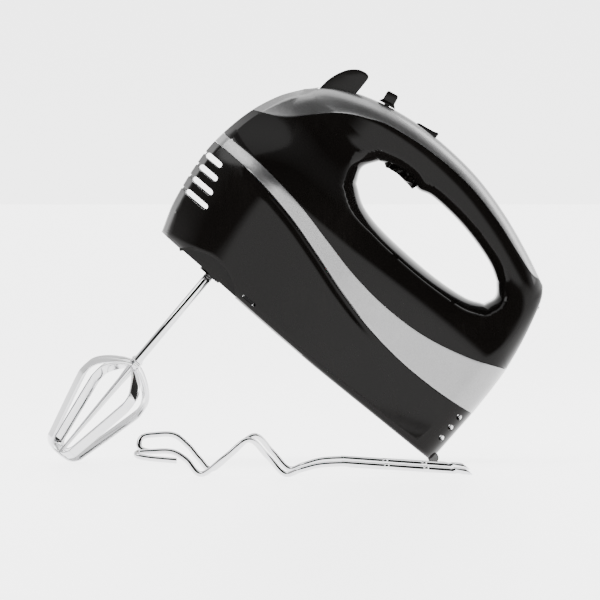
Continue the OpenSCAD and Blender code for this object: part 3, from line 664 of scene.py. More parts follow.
def bronze():
    """Sintered bronze, with open pores that hold oil; the pores are painted dark, for their oil and as painted
    shade in the holes.
    """
    f = Finish("bronze", Metallic=1.0)
    pores = node(f.tree, "ShaderNodeTexVoronoi", {"Vector": f.place, "Scale": 3000.0})
    oily_shaded_pore = f.remap(pores.outputs["Distance"], 0.15, 0.4, 1.0, 0.0)
    tone = f.blend(f.noise(160.0), (0.46, 0.27, 0.12), (0.62, 0.4, 0.2))
    # pores darkened: oil, and painted shade inside each pore
    tone = f.blend(oily_shaded_pore, tone, (0.12, 0.07, 0.035))
    rough = f.remap(pores.outputs["Distance"], 0.0, 0.5, 0.62, 0.3)
    return f.link(Base_Color=tone, Roughness=rough, Normal=f.bump(pores.outputs["Distance"], 0.00002))


def laminations():
    """Blued electrical steel, rolled and stamped."""
    f = Finish("laminations", Metallic=1.0)
    rolled = f.group(TOOLING, Along=(26.0, 26.0, 2.0), Depth=0.000005)
    wear_dust_shade = f.group(WEAR_DUST_AND_SHADE)
    tone = f.blend(f.noise(55.0, 5.0, 0.7), (0.2, 0.23, 0.28), (0.34, 0.33, 0.33))
    tone = f.blend(wear_dust_shade["Edges"], tone, (0.5, 0.49, 0.47))
    return f.link(Base_Color=tone, Roughness=f.remap(rolled["Lines"], 0.3, 0.7, 0.32, 0.5),
                  Normal=rolled["Normal"])


def copper_wire():
    """Enamelled copper wire under varnish."""
    f = Finish("copper_wire", Metallic=0.85, Coat_Weight=0.7, Coat_Roughness=0.12)
    skin = f.group(MOULDED, Grain=2200.0, Depth=0.00001)
    tone = f.blend(f.noise(120.0, 4.0, 0.6), (0.42, 0.14, 0.05), (0.62, 0.26, 0.11))
    tone = f.blend(f.remap(f.noise(30.0), 0.5, 0.75, 0.0, 0.6), tone, (0.24, 0.075, 0.03))
    return f.link(Base_Color=tone, Roughness=f.patchy(260.0, 0.22, 0.36), Normal=skin["Normal"])


def carbon():
    """Pressed carbon, granular and dark."""
    f = Finish("carbon", IOR=1.7)
    grain = f.noise(1500.0, 5.0, 0.75)
    tone = f.blend(grain, (0.012, 0.012, 0.013), (0.06, 0.06, 0.062))
    return f.link(Base_Color=tone, Roughness=f.remap(grain, 0.3, 0.7, 0.4, 0.65), Normal=f.bump(grain, 0.00003))


def switch_plastic():
    """Glass-filled dark plastic with a matt spark-eroded texture."""
    f = Finish("switch_plastic", IOR=1.5)
    skin = f.group(MOULDED, Grain=3000.0, Depth=0.00003)
    wear_dust_shade = f.group(WEAR_DUST_AND_SHADE)
    tone = f.blend(f.noise(420.0, 5.0, 0.7), (0.025, 0.026, 0.03), (0.045, 0.046, 0.05))
    tone = f.blend(wear_dust_shade["Edges"], tone, (0.12, 0.12, 0.12))
    return f.link(Base_Color=tone, Roughness=f.patchy(900.0, 0.48, 0.66), Normal=skin["Normal"])


def circuit_laminate():
    """Green solder mask over copper tracks, with solder pads."""
    f = Finish("circuit_laminate", IOR=1.5, Coat_Weight=0.4, Coat_Roughness=0.1)
    tracks = node(f.tree, "ShaderNodeTexBrick", {"Vector": f.place, "Scale": 130.0, "Mortar Size": 0.06,
                                                 "Brick Width": 0.9, "Row Height": 0.28})
    pads = node(f.tree, "ShaderNodeTexVoronoi", {"Vector": f.place, "Scale": 260.0})
    pad = f.remap(pads.outputs["Distance"], 0.16, 0.2, 1.0, 0.0)
    tone = f.blend(tracks.outputs["Fac"], (0.012, 0.08, 0.03), (0.03, 0.16, 0.06))
    tone = f.blend(pad, tone, (0.55, 0.54, 0.5))
    height = f.sum(tracks.outputs["Fac"], f.times(pad, 2.0))
    return f.link(Base_Color=tone, Roughness=f.patchy(500.0, 0.25, 0.4),
                  Metallic=f.times(pad, 0.9), Normal=f.bump(height, 0.00003))


MATERIALS = {make.__name__: make() for make in (
    black_gloss, silver_paint, chrome_steel, machined_steel, foot_rubber, nylon, bronze, laminations,
    copper_wire, carbon, switch_plastic, circuit_laminate)}
SLOTS = {part["node"]: part["material_slot"] for part in frame["record"]["subparts"]}


def mount(piece, body, cad):
    """A finished piece: painted, riding on its body and standing for its CAD node."""
    if not piece.data.materials:
        piece.data.materials.append(MATERIALS[SLOTS[cad]])
    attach(piece, body)
    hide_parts(cad)


def paint_kept_nodes():
    for name, obj in frame["nodes"].items():
        for place in obj.material_slots:
            place.material = MATERIALS[SLOTS[name]]


# ---- small shapes
def placed(obj, place, forward=(1, 0, 0), up=(0, 0, 1)):
    """Moves a mesh made about its own origin, in metres, to a place on the upright mixer."""
    x, z = Vector(forward).normalized(), Vector(up).normalized()
    columns = [Vector(to_rest(v) / MM) for v in (x, z.cross(x), z)]
    turn = Matrix(columns).transposed().to_4x4()
    obj.data.transform(Matrix.Translation(Vector(to_rest(place))) @ turn)
    obj.data.update()
    return obj


def prism(name, outline, low, high):
    """A side-view outline as a closed solid between y = low and y = high."""
    n = len(outline)
    vertices = [(x, y, z) for y in (low, high) for x, z in outline]
    faces = [tuple(range(n)), tuple(range(2 * n - 1, n - 1, -1))]
    faces += [(i, (i + 1) % n, n + (i + 1) % n, n + i) for i in range(n)]
    obj = make_object(name, vertices, faces)
    tidy(obj)
    return obj


def stadium(x0, x1, z, height, steps=10):
    r = height / 2
    turn = np.linspace(-math.pi / 2, math.pi / 2, steps)
    right = np.stack([x1 - r + r * np.cos(turn), z + r * np.sin(turn)], axis=1)
    left = np.stack([x0 + r - r * np.cos(turn), z - r * np.sin(turn)], axis=1)
    return np.vstack([right, left])


def circle(x, z, r, steps=32):
    turn = np.linspace(0, 2 * math.pi, steps, endpoint=False)
    return np.stack([x + r * np.cos(turn), z + r * np.sin(turn)], axis=1)


def block(name, x0, x1, y0, y1, z0, z1):
    return prism(name, [(x0, z0), (x1, z0), (x1, z1), (x0, z1)], y0, y1)


def lathe(name, profile, place, up=(0, 0, 1), segments=48):
    """A profile of (radius, height) points turned about an axis through place."""
    turn = np.linspace(0, 2 * math.pi, segments, endpoint=False)
    profile = np.array(profile, float)
    vertices = [(MM * r * math.cos(a), MM * r * math.sin(a), MM * h) for r, h in profile for a in turn]
    faces = []
    for i in range(len(profile) - 1):
        for k in range(segments):
            a, b = i * segments + k, i * segments + (k + 1) % segments
            faces.append((a, b, b + segments, a + segments))
    faces.append(tuple(range(segments - 1, -1, -1)))
    last = (len(profile) - 1) * segments
    faces.append(tuple(range(last, last + segments)))
    obj = make_object(name, vertices, faces, at_rest=True)
    tidy(obj)
    up = Vector(up).normalized()
    forward = Vector((1, 0, 0)) if abs(up.x) < 0.9 else Vector((0, 0, -1))
    return placed(obj, place, forward, up)


def sweep(name, path, section, across_path=None, closed=False):
    """A closed section swept along a path; across_path gives the section's first axis at each point."""
    path, section = np.array(path, float), np.array(section, float)
    n, m = len(path), len(section)
    if closed:
        ahead = np.roll(path, -1, axis=0) - np.roll(path, 1, axis=0)
    else:
        ahead = np.gradient(path, axis=0)
    ahead /= np.linalg.norm(ahead, axis=1)[:, None]
    if across_path is None:
        side = np.cross(ahead[0], [0.31, 0.2, 0.93])
        sides = []
        for t in ahead:
            side = side - t * (side @ t)
            side = side / np.linalg.norm(side)
            sides.append(side)
        across_path = np.array(sides)
    other = np.cross(ahead, across_path)
    vertices = (path[:, None] + section[None, :, :1] * across_path[:, None]
                + section[None, :, 1:] * other[:, None]).reshape(-1, 3)
    faces = []
    for i in range(n if closed else n - 1):
        for k in range(m):
            a, b = i * m + k, i * m + (k + 1) % m
            c, d = ((i + 1) % n) * m + (k + 1) % m, ((i + 1) % n) * m + k
            faces.append((a, b, c, d))
    if not closed:
        faces += [tuple(range(m - 1, -1, -1)), tuple(range((n - 1) * m, n * m))]
    obj = make_object(name, vertices, faces)
    tidy(obj)
    return obj


def strip_section(width, thickness, corner=0.42, steps=4):
    """A flat strip with rounded edges."""
    points = []
    for sx, sy, start in ((1, 1, 0), (-1, 1, 90), (-1, -1, 180), (1, -1, 270)):
        for a in np.radians(np.linspace(start, start + 90, steps)):
            points.append((sx * (width / 2 - corner) + corner * math.cos(a),
                           sy * (thickness / 2 - corner) + corner * math.sin(a)))
    return np.array(points)


def merged(name, *objects):
    """Several meshes as one piece, with the first one's material."""
    mesh = bpy.data.meshes.new(name)
    for material in objects[0].data.materials:
        mesh.materials.append(material)
    bm = bmesh.new()
    for obj in objects:
        bm.from_mesh(obj.data)
        bpy.data.objects.remove(obj)
    bm.to_mesh(mesh)
    bm.free()
    piece = bpy.data.objects.new(name, mesh)
    bpy.context.scene.collection.objects.link(piece)
    return piece


# ---- repeated details, by geometry nodes
def geometry_tree(name, inputs):
    return group_tree(name, "GeometryNodeTree", inputs, [("Geometry", "Geometry")])


def finish_tree(tree, start, end, instances):
    real = node(tree, "GeometryNodeRealizeInstances", {"Geometry": instances})
    painted = node(tree, "GeometryNodeSetMaterial", {"Geometry": real.outputs[0],
                                                     "Material": start.outputs["Material"]})
    tree.links.new(painted.outputs[0], end.inputs["Geometry"])
    return tree


def copies(tree, start, end, step, angle):
    """The part repeated by steps, each copy turned about Z by its own angle."""
    line = node(tree, "GeometryNodeMeshLine", {"Count": start.outputs["Count"], "Offset": step})
    shape = node(tree, "GeometryNodeObjectInfo", {"Object": start.outputs["Part"]})
    turned = node(tree, "ShaderNodeCombineXYZ", {"Z": angle})
    made = node(tree, "GeometryNodeInstanceOnPoints", {
        "Points": line.outputs["Mesh"], "Instance": shape.outputs["Geometry"], "Rotation": turned.outputs[0]})
    return finish_tree(tree, start, end, made.outputs["Instances"])


def row_tree():
    """One part repeated along a straight line, each turned a little further than the last."""
    tree, start, end = geometry_tree("row_of_parts", [
        ("Part", "Object"), ("Count", "Int", 8), ("Step", "Vector", (0.0, 0.0, 0.001)),
        ("Turn", "Float", 0.0), ("Material", "Material")])
    index = tree.nodes.new("GeometryNodeInputIndex").outputs[0]
    angle = calculate(tree, "MULTIPLY", index, start.outputs["Turn"])
    return copies(tree, start, end, start.outputs["Step"], angle)


def circle_tree():
    """One part repeated round the Z axis."""
    tree, start, end = geometry_tree("ring_of_parts", [
        ("Part", "Object"), ("Count", "Int", 8), ("Material", "Material")])
    index = tree.nodes.new("GeometryNodeInputIndex").outputs[0]
    share = calculate(tree, "DIVIDE", index, start.outputs["Count"])
    return copies(tree, start, end, (0.0, 0.0, 0.0), calculate(tree, "MULTIPLY", share, 2 * math.pi))


def spring_tree():
    """A coil spring standing on the XY plane."""
    tree, start, end = geometry_tree("coil_spring", [
        ("Turns", "Float", 5.0), ("Radius", "Float", 0.005), ("Height", "Float", 0.012),
        ("Wire Radius", "Float", 0.0004), ("Material", "Material")])
    coil = node(tree, "GeometryNodeCurveSpiral", {
        "Resolution": 40, "Rotations": start.outputs["Turns"], "Start Radius": start.outputs["Radius"],
        "End Radius": start.outputs["Radius"], "Height": start.outputs["Height"]})
    wire = node(tree, "GeometryNodeCurvePrimitiveCircle", {
        "Resolution": 12, "Radius": start.outputs["Wire Radius"]})
    mesh = node(tree, "GeometryNodeCurveToMesh", {
        "Curve": coil.outputs["Curve"], "Profile Curve": wire.outputs["Curve"], "Fill Caps": True})
    return finish_tree(tree, start, end, mesh.outputs["Mesh"])


ROW, RING, SPRING = row_tree(), circle_tree(), spring_tree()


def repeated(name, tree, material, part=None, **inputs):
    """A plain mesh made by one of the trees above, about its own origin."""
    obj = make_object(name, [], [], at_rest=True)
    maker = obj.modifiers.new("repeat", "NODES")
    maker.node_group = tree
    values = {key.replace("_", " "): value for key, value in inputs.items()}
    values["Material"] = MATERIALS[material]
    if part is not None:
        values["Part"] = part
    for item in tree.interface.items_tree:
        if item.in_out == "INPUT" and item.name in values:
            maker[item.identifier] = values[item.name]
    apply(obj)
    if part is not None:
        bpy.data.objects.remove(part)
    return obj


# ---- the four mouldings of the housing
VENT_ROWS = ((49.8, 207.2, 196.2), (42.4, 205.8, 193.2), (34.8, 204.4, 190.2), (27.0, 202.8, 187.2))
VENT_HEIGHT = 3.5
REAR_VENT = 3.3
REAR_VENT_X, REAR_VENT_Z = 5.6, (13.4, 21.2, 28.6)
CLIP_WINDOW = (132.2, 141.2, 2.3, 4.1)
ARCH = (163.4, -16.6, 25.6)
ARCH_DEPTH = 8.0
LINING = 1.6
INLET_RADIUS = 5.5
SLOT_GAP = 0.4
FAR = 60.0
FAR_FROM_HOLE = 99.0


def lower_shell():
    seam_line = moved(BAND_BASE, -SEAM)
    start, end = crossing(seam_line, REAR), crossing(seam_line, NOSE)
    rear = part_of(REAR, start, REAR[-1])
    nose = part_of(NOSE, NOSE[0], end)
    outline = joined(evenly(rear, 34), evenly(BASE, 190), evenly(nose, 60))
    seam = part_of(seam_line, start, end)
    share = lengths(outline) / lengths(outline)[-1]
    seam_share = lengths(seam) / lengths(seam)[-1]
    inner = np.stack([np.interp(share, seam_share, seam[:, k]) for k in (0, 1)], axis=1)
    grid, keep = sheet(inner, outline, 44, np.ones(len(outline), bool))
    return moulding("lower_housing_moulding", grid, keep)


def nose_groove(z, depth=0.7, height=1.7):
    """A shallow groove that carries a vent slot on round the nose."""
    x = across(NOSE, z, 1)
    ahead = np.linspace(0.0, 9.0, 20)
    y = form(x - ahead, np.full(20, z), np.full(20, FAR_FROM_HOLE))
    path = np.vstack([np.stack([x - ahead[::-1], y[::-1], np.full(20, z)], axis=1),
                      np.stack([x - ahead, -y, np.full(20, z)], axis=1)])
    across_path = np.tile([0.0, 0.0, 1.0], (len(path), 1))
    return sweep("groove", path, strip_section(height, 2 * depth, 0.3), across_path)


def arch_line(radius, depth):
    """Half the recess's wall as side-view places, its inner and outer depths, and the base below."""
    x0, z0, _ = ARCH
    turn = np.linspace(math.radians(38), math.radians(142), 60)
    x, z = x0 + radius * np.cos(turn), z0 + radius * np.sin(turn)
    inner = np.full(len(x), depth)
    outer = np.maximum(form(x, z, np.full(len(x), FAR_FROM_HOLE)) - 0.7, inner + 0.2)
    return x, z, inner, outer, np.minimum(across(BASE, x, 0) + 0.5, z)


def arch_lining():
    """The roof and back of the recess over the two beater sockets, on both sides."""
    depth = WIDTH / 2 - ARCH_DEPTH
    x, z, inner, outer, base = arch_line(ARCH[2], depth)
    back_x, back_z, back_inner, _, back_base = arch_line(ARCH[2] + LINING, depth - LINING)
    n = len(x)
    rows = ((x, outer, z), (x, inner, z), (x, inner, base),
            (back_x, outer, back_z), (back_x, back_inner, back_z), (back_x, back_inner, back_base))
    faces = [(a * n + i, a * n + i + 1, b * n + i + 1, b * n + i) for i in range(n - 1)
             for a, b in ((0, 1), (1, 2), (5, 4), (4, 3), (3, 0), (2, 5))]
    faces += [tuple(k * n for k in range(6)), tuple(k * n + n - 1 for k in (5, 4, 3, 2, 1, 0))]
    objects = []
    for s in (1, -1):
        vertices = np.concatenate([np.stack([a, s * y, b], axis=1) for a, y, b in rows])
        obj = make_object("lining", vertices, faces)
        tidy(obj)
        objects.append(obj)
    return objects


def lower_housing():
    obj = lower_shell()
    cut_away(obj, prism("arch", circle(*ARCH, 96), -FAR, FAR))
    for z, front, rear in VENT_ROWS:
        cut_away(obj, prism("slot", stadium(rear, front, z, VENT_HEIGHT), -FAR, FAR))
        cut_away(obj, nose_groove(z))
    for z in REAR_VENT_Z:
        cut_away(obj, prism("hole", circle(REAR_VENT_X, z, REAR_VENT / 2), -FAR, FAR))
        cut_away(obj, prism("notch", stadium(-6, across(REAR, z, 1) + 1.7, z, REAR_VENT), -15, 15))
    x0, x1, z0, z1 = CLIP_WINDOW
    cut_away(obj, prism("window", stadium(x0, x1, (z0 + z1) / 2, z1 - z0), -FAR, FAR))
    round_edges(obj, 0.28, 2, 42)
    return merged("lower_housing_moulding", obj, *arch_lining())


def upper_housing():
    low, high = moved(BAND_TOP, SEAM), moved(COVER_EDGE, SEAM)
    rear_low, nose_low = crossing(low, REAR), crossing(low, NOSE)
    nose_high, rear_high = crossing(high, NOSE), crossing(high, TOP)
    rear_line = joined(part_of(TOP, rear_high, TOP[-1]), part_of(REAR, REAR[0], rear_low))
    counts = (130, 26, 150, 46)
    outer = joined(*[evenly(line, n) for line, n in zip(
        (part_of(low, rear_low, nose_low), part_of(NOSE, nose_low, nose_high),
         part_of(high, nose_high, rear_high), rear_line), counts)])
    hole = joined(*[evenly(line, n) for line, n in zip((HOLE_BASE, HOLE_NOSE, HOLE_TOP, HOLE_REAR), counts)])
    silhouette = np.zeros(len(outer), bool)
    silhouette[counts[0] - 1:counts[0] + counts[1] - 1] = True
    silhouette[-counts[3]:] = True
    silhouette[0] = True
    grid, keep = sheet(hole, outer, 40, silhouette, inner_silhouette=True, clustered=0.75)
    obj = moulding("upper_housing_moulding", grid, keep, even=False)
    round_edges(obj, 0.35)
    hole_line = [(0.01, -12), (INLET_RADIUS, -12), (INLET_RADIUS, 12), (0.01, 12)]
    cut_away(obj, lathe("inlet", hole_line, part_centre("cord_bush"), (1, 0, 0)))
    return obj


def side_band():
    low, high = moved(BAND_BASE, SEAM), moved(BAND_TOP, -SEAM)
    columns, rows = 240, 16
    low = evenly(part_of(low, crossing(low, REAR), crossing(low, NOSE)), columns)
    high = evenly(part_of(high, crossing(high, REAR), crossing(high, NOSE)), columns)
    grid = sheet(low, high, rows, np.zeros(columns, bool), extra=PROUD)[0][:, :rows]
    nose_bridge = [grid[-1:] * [1, f, 1] for f in np.linspace(1, 0, RIM_STEPS)[1:]]
    rear_bridge = [grid[:1] * [1, f, 1] for f in np.linspace(0, 1, RIM_STEPS)[:-1]]
    grid = np.concatenate(rear_bridge + [grid] + nose_bridge)
    obj = moulding("side_band_trim", grid, np.ones((len(grid) - 1, rows - 1), bool))
    round_edges(obj, 0.5)
    return obj


def top_cover():
    edge = moved(COVER_EDGE, -SEAM)
    start, end = crossing(edge, NOSE), crossing(edge, TOP)
    outer = joined(evenly(part_of(NOSE, start, NOSE[-1]), 50), evenly(part_of(TOP, TOP[0], end), 230))
    inner = evenly(part_of(edge, start, end), len(outer))
    grid, keep = sheet(inner, outer, 18, np.ones(len(outer), bool))
    obj = moulding("top_cover_moulding", grid, keep)
    fin_side, turbo_side = FIN_WIDTH / 2 + SLOT_GAP, TURBO_WIDTH / 2 + SLOT_GAP
    for name, rear, front, side in (
            ("fin_slot", FIN[-1][0] - SLOT_GAP, FIN[0][0] + SLOT_GAP, fin_side),
            ("slider_slot", SLIDER_X - 14.5, SLIDER_X + 2.5, 1.9),
            ("turbo_slot", TURBO[0] - SLOT_GAP, TURBO[1] + SLOT_GAP, turbo_side)):
        cut_away(obj, block(name, rear, front, -side, side, 100, 160))
    round_edges(obj, 0.4, 3, 40)
    return obj


# ---- controls on the cover
FIN_WIDTH = 9.0
SLIDER_X, SLIDE_ANGLE = 148.0, 11.0
TURBO, TURBO_WIDTH = (115.2, 128.8), 10.0
FIN = [[182.9, 118], [182.2, 125], [180.4, 131], [177.6, 136.2], [174.2, 139.6], [171.2, 141.2],
       [167.6, 141.8], [165.6, 140.6], [165.2, 137], [165.1, 130], [165, 118]]


def eject_button():
    fin = prism("fin", curve(FIN, 6), -FIN_WIDTH / 2, FIN_WIDTH / 2)
    round_edges(fin, 1.5, 5, 50)
    tail = block("tail", 166, 181, -FIN_WIDTH / 2 + 1, FIN_WIDTH / 2 - 1, 112, 119)
    return merged("eject_fin", fin, tail)


def speed_slider():
    place = np.array([SLIDER_X, 0, across(TOP, SLIDER_X, 0) + 0.5])
    forward = (math.cos(math.radians(SLIDE_ANGLE)), 0, -math.sin(math.radians(SLIDE_ANGLE)))
    up = (-forward[2], 0, forward[0])

    def slab(name, outline, half):
        return prism(name, outline, -half, half)

    base = slab("base", [(-5.2, 0.0), (5.2, 0.0), (4.6, 0.7), (3.7, 1.8), (-3.7, 1.8), (-4.6, 0.7)], 6.8)
    grip = slab("grip", [(-3.6, 1.2), (3.6, 1.2), (3.5, 6.4), (2.9, 7.3), (-2.9, 7.3), (-3.5, 6.4)], 5.9)
    stalk = slab("stalk", [(-1.5, -8), (1.5, -8), (1.5, 0.5), (-1.5, 0.5)], 1.3)
    ribs = [slab("rib", [(x - 0.32, 6.9), (x + 0.32, 6.9), (x + 0.2, 7.5), (x - 0.2, 7.5)], 4.9)
            for x in (-2.0, -0.7, 0.7, 2.0)]
    for obj, radius in ((base, 0.35), (grip, 0.7)):
        round_edges(obj, radius, 4, 30)
    piece = merged("speed_slider_knob", base, grip, stalk, *ribs)
    points = points_of(piece) / MM
    put_points(piece, to_rest(place + points @ np.array([forward, (0, 1, 0), up])))
    return piece


def turbo_button():
    x0, x1 = TURBO
    outline = curve([[x1, 138.2], [x1 - 1.2, 139.5], [x1 - 5, 140.2], [x0 + 4, 141.1], [x0 + 2.2, 141.6],
                     [x0 + 1.1, 142.1], [x0 + 0.2, 141.7], [x0, 140.4], [x0, 134.2]], 6)
    body = prism("turbo", np.vstack([outline, [[x1, 134.2]]]), -TURBO_WIDTH / 2 + 0.2, TURBO_WIDTH / 2 - 0.2)
    round_edges(body, 0.5, 4, 50)
    dimple = [(0.01, -0.6), (0.7, -0.35), (0.9, 0.0), (0.9, 0.8), (0.01, 0.8)]
    for x in (119.5, 122.5):
        for y in (-2.4, 0, 2.4):
            cut_away(body, lathe("dimple", dimple, (x, y, 140.95)))
    return body


# ---- beaters
STEM_RADIUS, TIP_RADIUS = 2.5, 1.1
STEM, CAGE = 65.0, 65.0
STEM_TOP = 43.5
CAGE_RADIUS = 23.6
STRIP = (6.0, 1.1)
CAGE_TURN = 33.0
SOCKET_Z = -1.0
LOOP_GAP = 0.35
DROP = STEM + CAGE
LOOP = curve([[0, DROP], [7, DROP - 0.7], [0.49 * CAGE_RADIUS, DROP - 4.2], [0.58 * CAGE_RADIUS, DROP - 10],
              [0.95 * CAGE_RADIUS, STEM + 0.4 * CAGE], [CAGE_RADIUS, STEM + 0.29 * CAGE],
              [0.92 * CAGE_RADIUS, STEM + 0.19 * CAGE], [0.66 * CAGE_RADIUS, STEM + 0.1 * CAGE],
              [0.34 * CAGE_RADIUS, STEM + 0.03 * CAGE], [STEM_RADIUS, STEM]], 10)


def beater_loop(name, side, turn, inset):
    """One strip, bent from the shaft round under it and back, seen as left and right halves."""
    inside = moved(LOOP, -inset - STRIP[1] / 2)
    inside = inside[inside[:, 0] > 0.001]
    half = np.vstack([[[0.0, inside[0, 1]]], inside])
    flat = np.vstack([half[::-1], half[1:] * [-1, 1]])
    across_strip = np.array([-math.sin(turn), math.cos(turn), 0.0])
    along = np.array([math.cos(turn), math.sin(turn), 0.0])
    centre = np.array([BEATER_X, side * BEATER_Y, SOCKET_Z])
    path = centre + flat[:, :1] * along + flat[:, 1:] * [0, 0, -1]
    piece = sweep(name, path, strip_section(*STRIP), np.tile(across_strip, (len(path), 1)))
    points = points_of(piece) / MM
    narrower = mix(0.62, 1, ease((SOCKET_Z - points[:, 2] - STEM) / 9)) - 1
    points += (narrower * ((points - centre) @ across_strip))[:, None] * across_strip
    put_points(piece, to_rest(points))
    return piece


def beater_stem(name, side):
    """The shaft: a crimped top, two retaining lugs, a plain middle and a taper inside the cage."""
    top = STEM_TOP
    bottom = DROP - 2 * STRIP[1] - LOOP_GAP
    profile = [(0.01, top), (1.5, top), (2.1, top - 0.6), (STEM_RADIUS, top - 1.6), (STEM_RADIUS, top - 6),
               (2.1, top - 6.5), (2.1, top - 8.5), (STEM_RADIUS, top - 9), (STEM_RADIUS, -STEM - 5),
               (STEM_RADIUS - 0.5, -STEM - 11), (TIP_RADIUS + 0.35, -DROP + 26), (TIP_RADIUS, -DROP + 12),
               (TIP_RADIUS, -bottom), (0.01, -bottom)]
    return lathe(name, profile[::-1], (BEATER_X, side * BEATER_Y, SOCKET_Z))


def beater_cap(name, side):
    """The crimped collar that holds the strips to the shaft, with a rolled bead."""
    r = STEM_RADIUS
    profile = [(r - 0.05, 0.35), (r + 0.8, 0.4), (r + 1.15, 0.7), (r + 1.15, 1.3), (r + 0.7, 1.7),
               (r + 0.75, 2.2), (r + 0.4, 2.6), (r - 0.05, 2.65)]
    return lathe(name, profile, (BEATER_X, side * BEATER_Y, SOCKET_Z - STEM))


def beaters():
    turn = math.radians(CAGE_TURN)
    for label, side in (("left", 1), ("right", -1)):
        body = f"{label}_beater"
        inner = STRIP[1] + LOOP_GAP
        pieces = {
            "outer_loop": beater_loop(f"{body}_outer_strip", side, turn, 0.0),
            "inner_loop": beater_loop(f"{body}_inner_strip", side, turn + math.pi / 2, inner),
            "stem": beater_stem(f"{body}_shaft", side),
            "cap": beater_cap(f"{body}_collar", side)}
        for part, piece in pieces.items():
            shade(piece, 40)
            mount(piece, body, f"{body}_{part}")


# ---- dough hooks: a wire bent into a wave and crimped into a sleeve
HOOK_LENGTH = 178.0
HOOK_RISE = 18.3
HOOK_RADIUS = 1.5
HOOK_FLOOR = 0.42
SLEEVE_RADIUS = 3.03
WIRE_END = ((-2, 7.46), (3.5, 7.1))


def hook_wire(name, sleeve, path):
    """One bent wire: distance from the tip, sideways offset and share of the rise at each point."""
    low, high = (np.array(corner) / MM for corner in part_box(sleeve))
    left, y = high[0] - HOOK_LENGTH, (low[1] + high[1]) / 2
    points = [[left + a, y + out, HOOK_RADIUS + HOOK_FLOOR + share * HOOK_RISE] for a, out, share in path]
    points += [[low[0] + a, y, z] for a, z in WIRE_END]
    return sweep(name, curve(points, 10) @ BACK, circle(0, 0, HOOK_RADIUS, 14))


def hook_sleeve(name, sleeve, lugs):
    """A tube with a snap groove near its end and pressed-out lugs on its upper side."""
    low, high = (np.array(corner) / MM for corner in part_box(sleeve))
    length = high[0] - low[0] - 0.3
    fall = (high[2] - low[2] - 2 * SLEEVE_RADIUS) / length
    axis = np.array([1.0, 0.0, -fall])
    axis /= np.linalg.norm(axis)
    foot = np.array([low[0] + 0.15, (low[1] + high[1]) / 2, high[2] - SLEEVE_RADIUS - 0.05])
    r = SLEEVE_RADIUS - 0.06
    profile = [(2.2, 0.9), (r - 0.5, 0.1), (r - 0.1, 0.3), (r, 0.8), (r, length - 9.4),
               (r - 0.5, length - 8.8),
               (r - 0.62, length - 8.2), (r - 0.62, length - 7.0), (r - 0.5, length - 6.5), (r, length - 5.9),
               (r, length - 1.0), (r - 0.3, length - 0.3), (r - 0.9, length), (0.01, length)]
    pieces = [lathe("tube", [(0.01, 0.9)] + profile, foot @ BACK, axis @ BACK, 40)]
    for place in lugs:
        for sideways in (-1, 1):
            stud = lathe("stud", [(0.01, -1.5), (1.7, -1.2), (1.5, 0.1), (0.8, 0.55), (0.01, 0.65)],
                         (foot + place * axis + [0, sideways * (r - 0.7), 0]) @ BACK,
                         np.array([0.0, sideways, 0.0]) @ BACK, 20)
            pieces.append(stud)
    return merged(name, *pieces)


NEAR_PATH = ((23, -4, 0.4), (9, -4.2, 0.47), (2.8, -3, 0.53), (1.6, 0, 0.58), (2.8, 3, 0.62), (9, 4.2, 0.64),
             (20, 4, 0.64), (28, 3, 0.4), (36, 0, 0), (48.5, -4, 0.5), (61, -2, 1), (71, 4, 0.5), (80, 3, 0),
             (88, 0, 0.12), (98, 0, 0.26))
FAR_PATH = ((8, -3.5, 0.5), (2.6, -2, 0.6), (1.6, 0, 0.78), (3.5, 1.5, 0.94), (9, 2, 1), (20, 2, 1),
            (28, 1, 0.68), (34, 0, 0.3), (40.5, -1, 0), (51, -4, 0.45), (63.5, -1, 0.98), (73, 4, 0.5),
            (82, 3, 0), (90, 0, 0.12), (99, 0, 0.26))


def hooks():
    for label, path in (("near", NEAR_PATH), ("far", FAR_PATH)):
        wire = hook_wire(f"{label}_hook_wire", f"{label}_hook_sleeve", path)
        tube = hook_sleeve(f"{label}_hook_tube", f"{label}_hook_sleeve", (22.0, 43.0))
        for piece, part in ((wire, ""), (tube, "_sleeve")):
            shade(piece, 50)
            mount(piece, f"{label}_hook", f"{label}_hook{part}")


# ---- inside the housing
MOTOR_AXIS = (1, 0, 0)
CORE_X = part_centre("stator_core")[0]
CORE_LENGTH = 28.0
CORE_WIDTH = 49.0
ROTOR_RADIUS = 13.5
SHAFT_RADIUS = 3.0


def lamination(name, outline, bore, thickness=0.42):
    """One stamped sheet about the origin: an outline with a round hole, in metres, standing on XY."""
    n = len(outline)
    turn = np.arctan2(outline[:, 1], outline[:, 0])
    inner = np.stack([bore * np.cos(turn), bore * np.sin(turn)], axis=1)
    vertices = [(MM * x, MM * y, MM * z) for z in (0, thickness)
                for ring in (outline, inner) for x, y in ring]
    faces = []
    for i in range(n):
        j = (i + 1) % n
        for a, b in ((0, n), (n, 3 * n), (3 * n, 2 * n), (2 * n, 0)):
            faces.append((a + i, a + j, b + j, b + i))
    obj = make_object(name, vertices, faces, at_rest=True)
    tidy(obj)
    return obj


def square_outline(size, notch, steps=120):
    turn = np.linspace(0, 2 * math.pi, steps, endpoint=False)
    reach = size / 2 / np.maximum(np.abs(np.cos(turn)), np.abs(np.sin(turn)))
    reach = np.minimum(reach, size / 2 * 1.25) - notch * (np.abs(np.sin(2 * turn)) > 0.995)
    return np.stack([reach * np.cos(turn), reach * np.sin(turn)], axis=1)


def slotted_outline(radius, slots=12, steps=240):
    turn = np.linspace(0, 2 * math.pi, steps, endpoint=False)
    notch = np.abs(((turn * slots / (2 * math.pi)) % 1) - 0.5) < 0.1
    reach = radius - 3.6 * notch
    return np.stack([reach * np.cos(turn), reach * np.sin(turn)], axis=1)


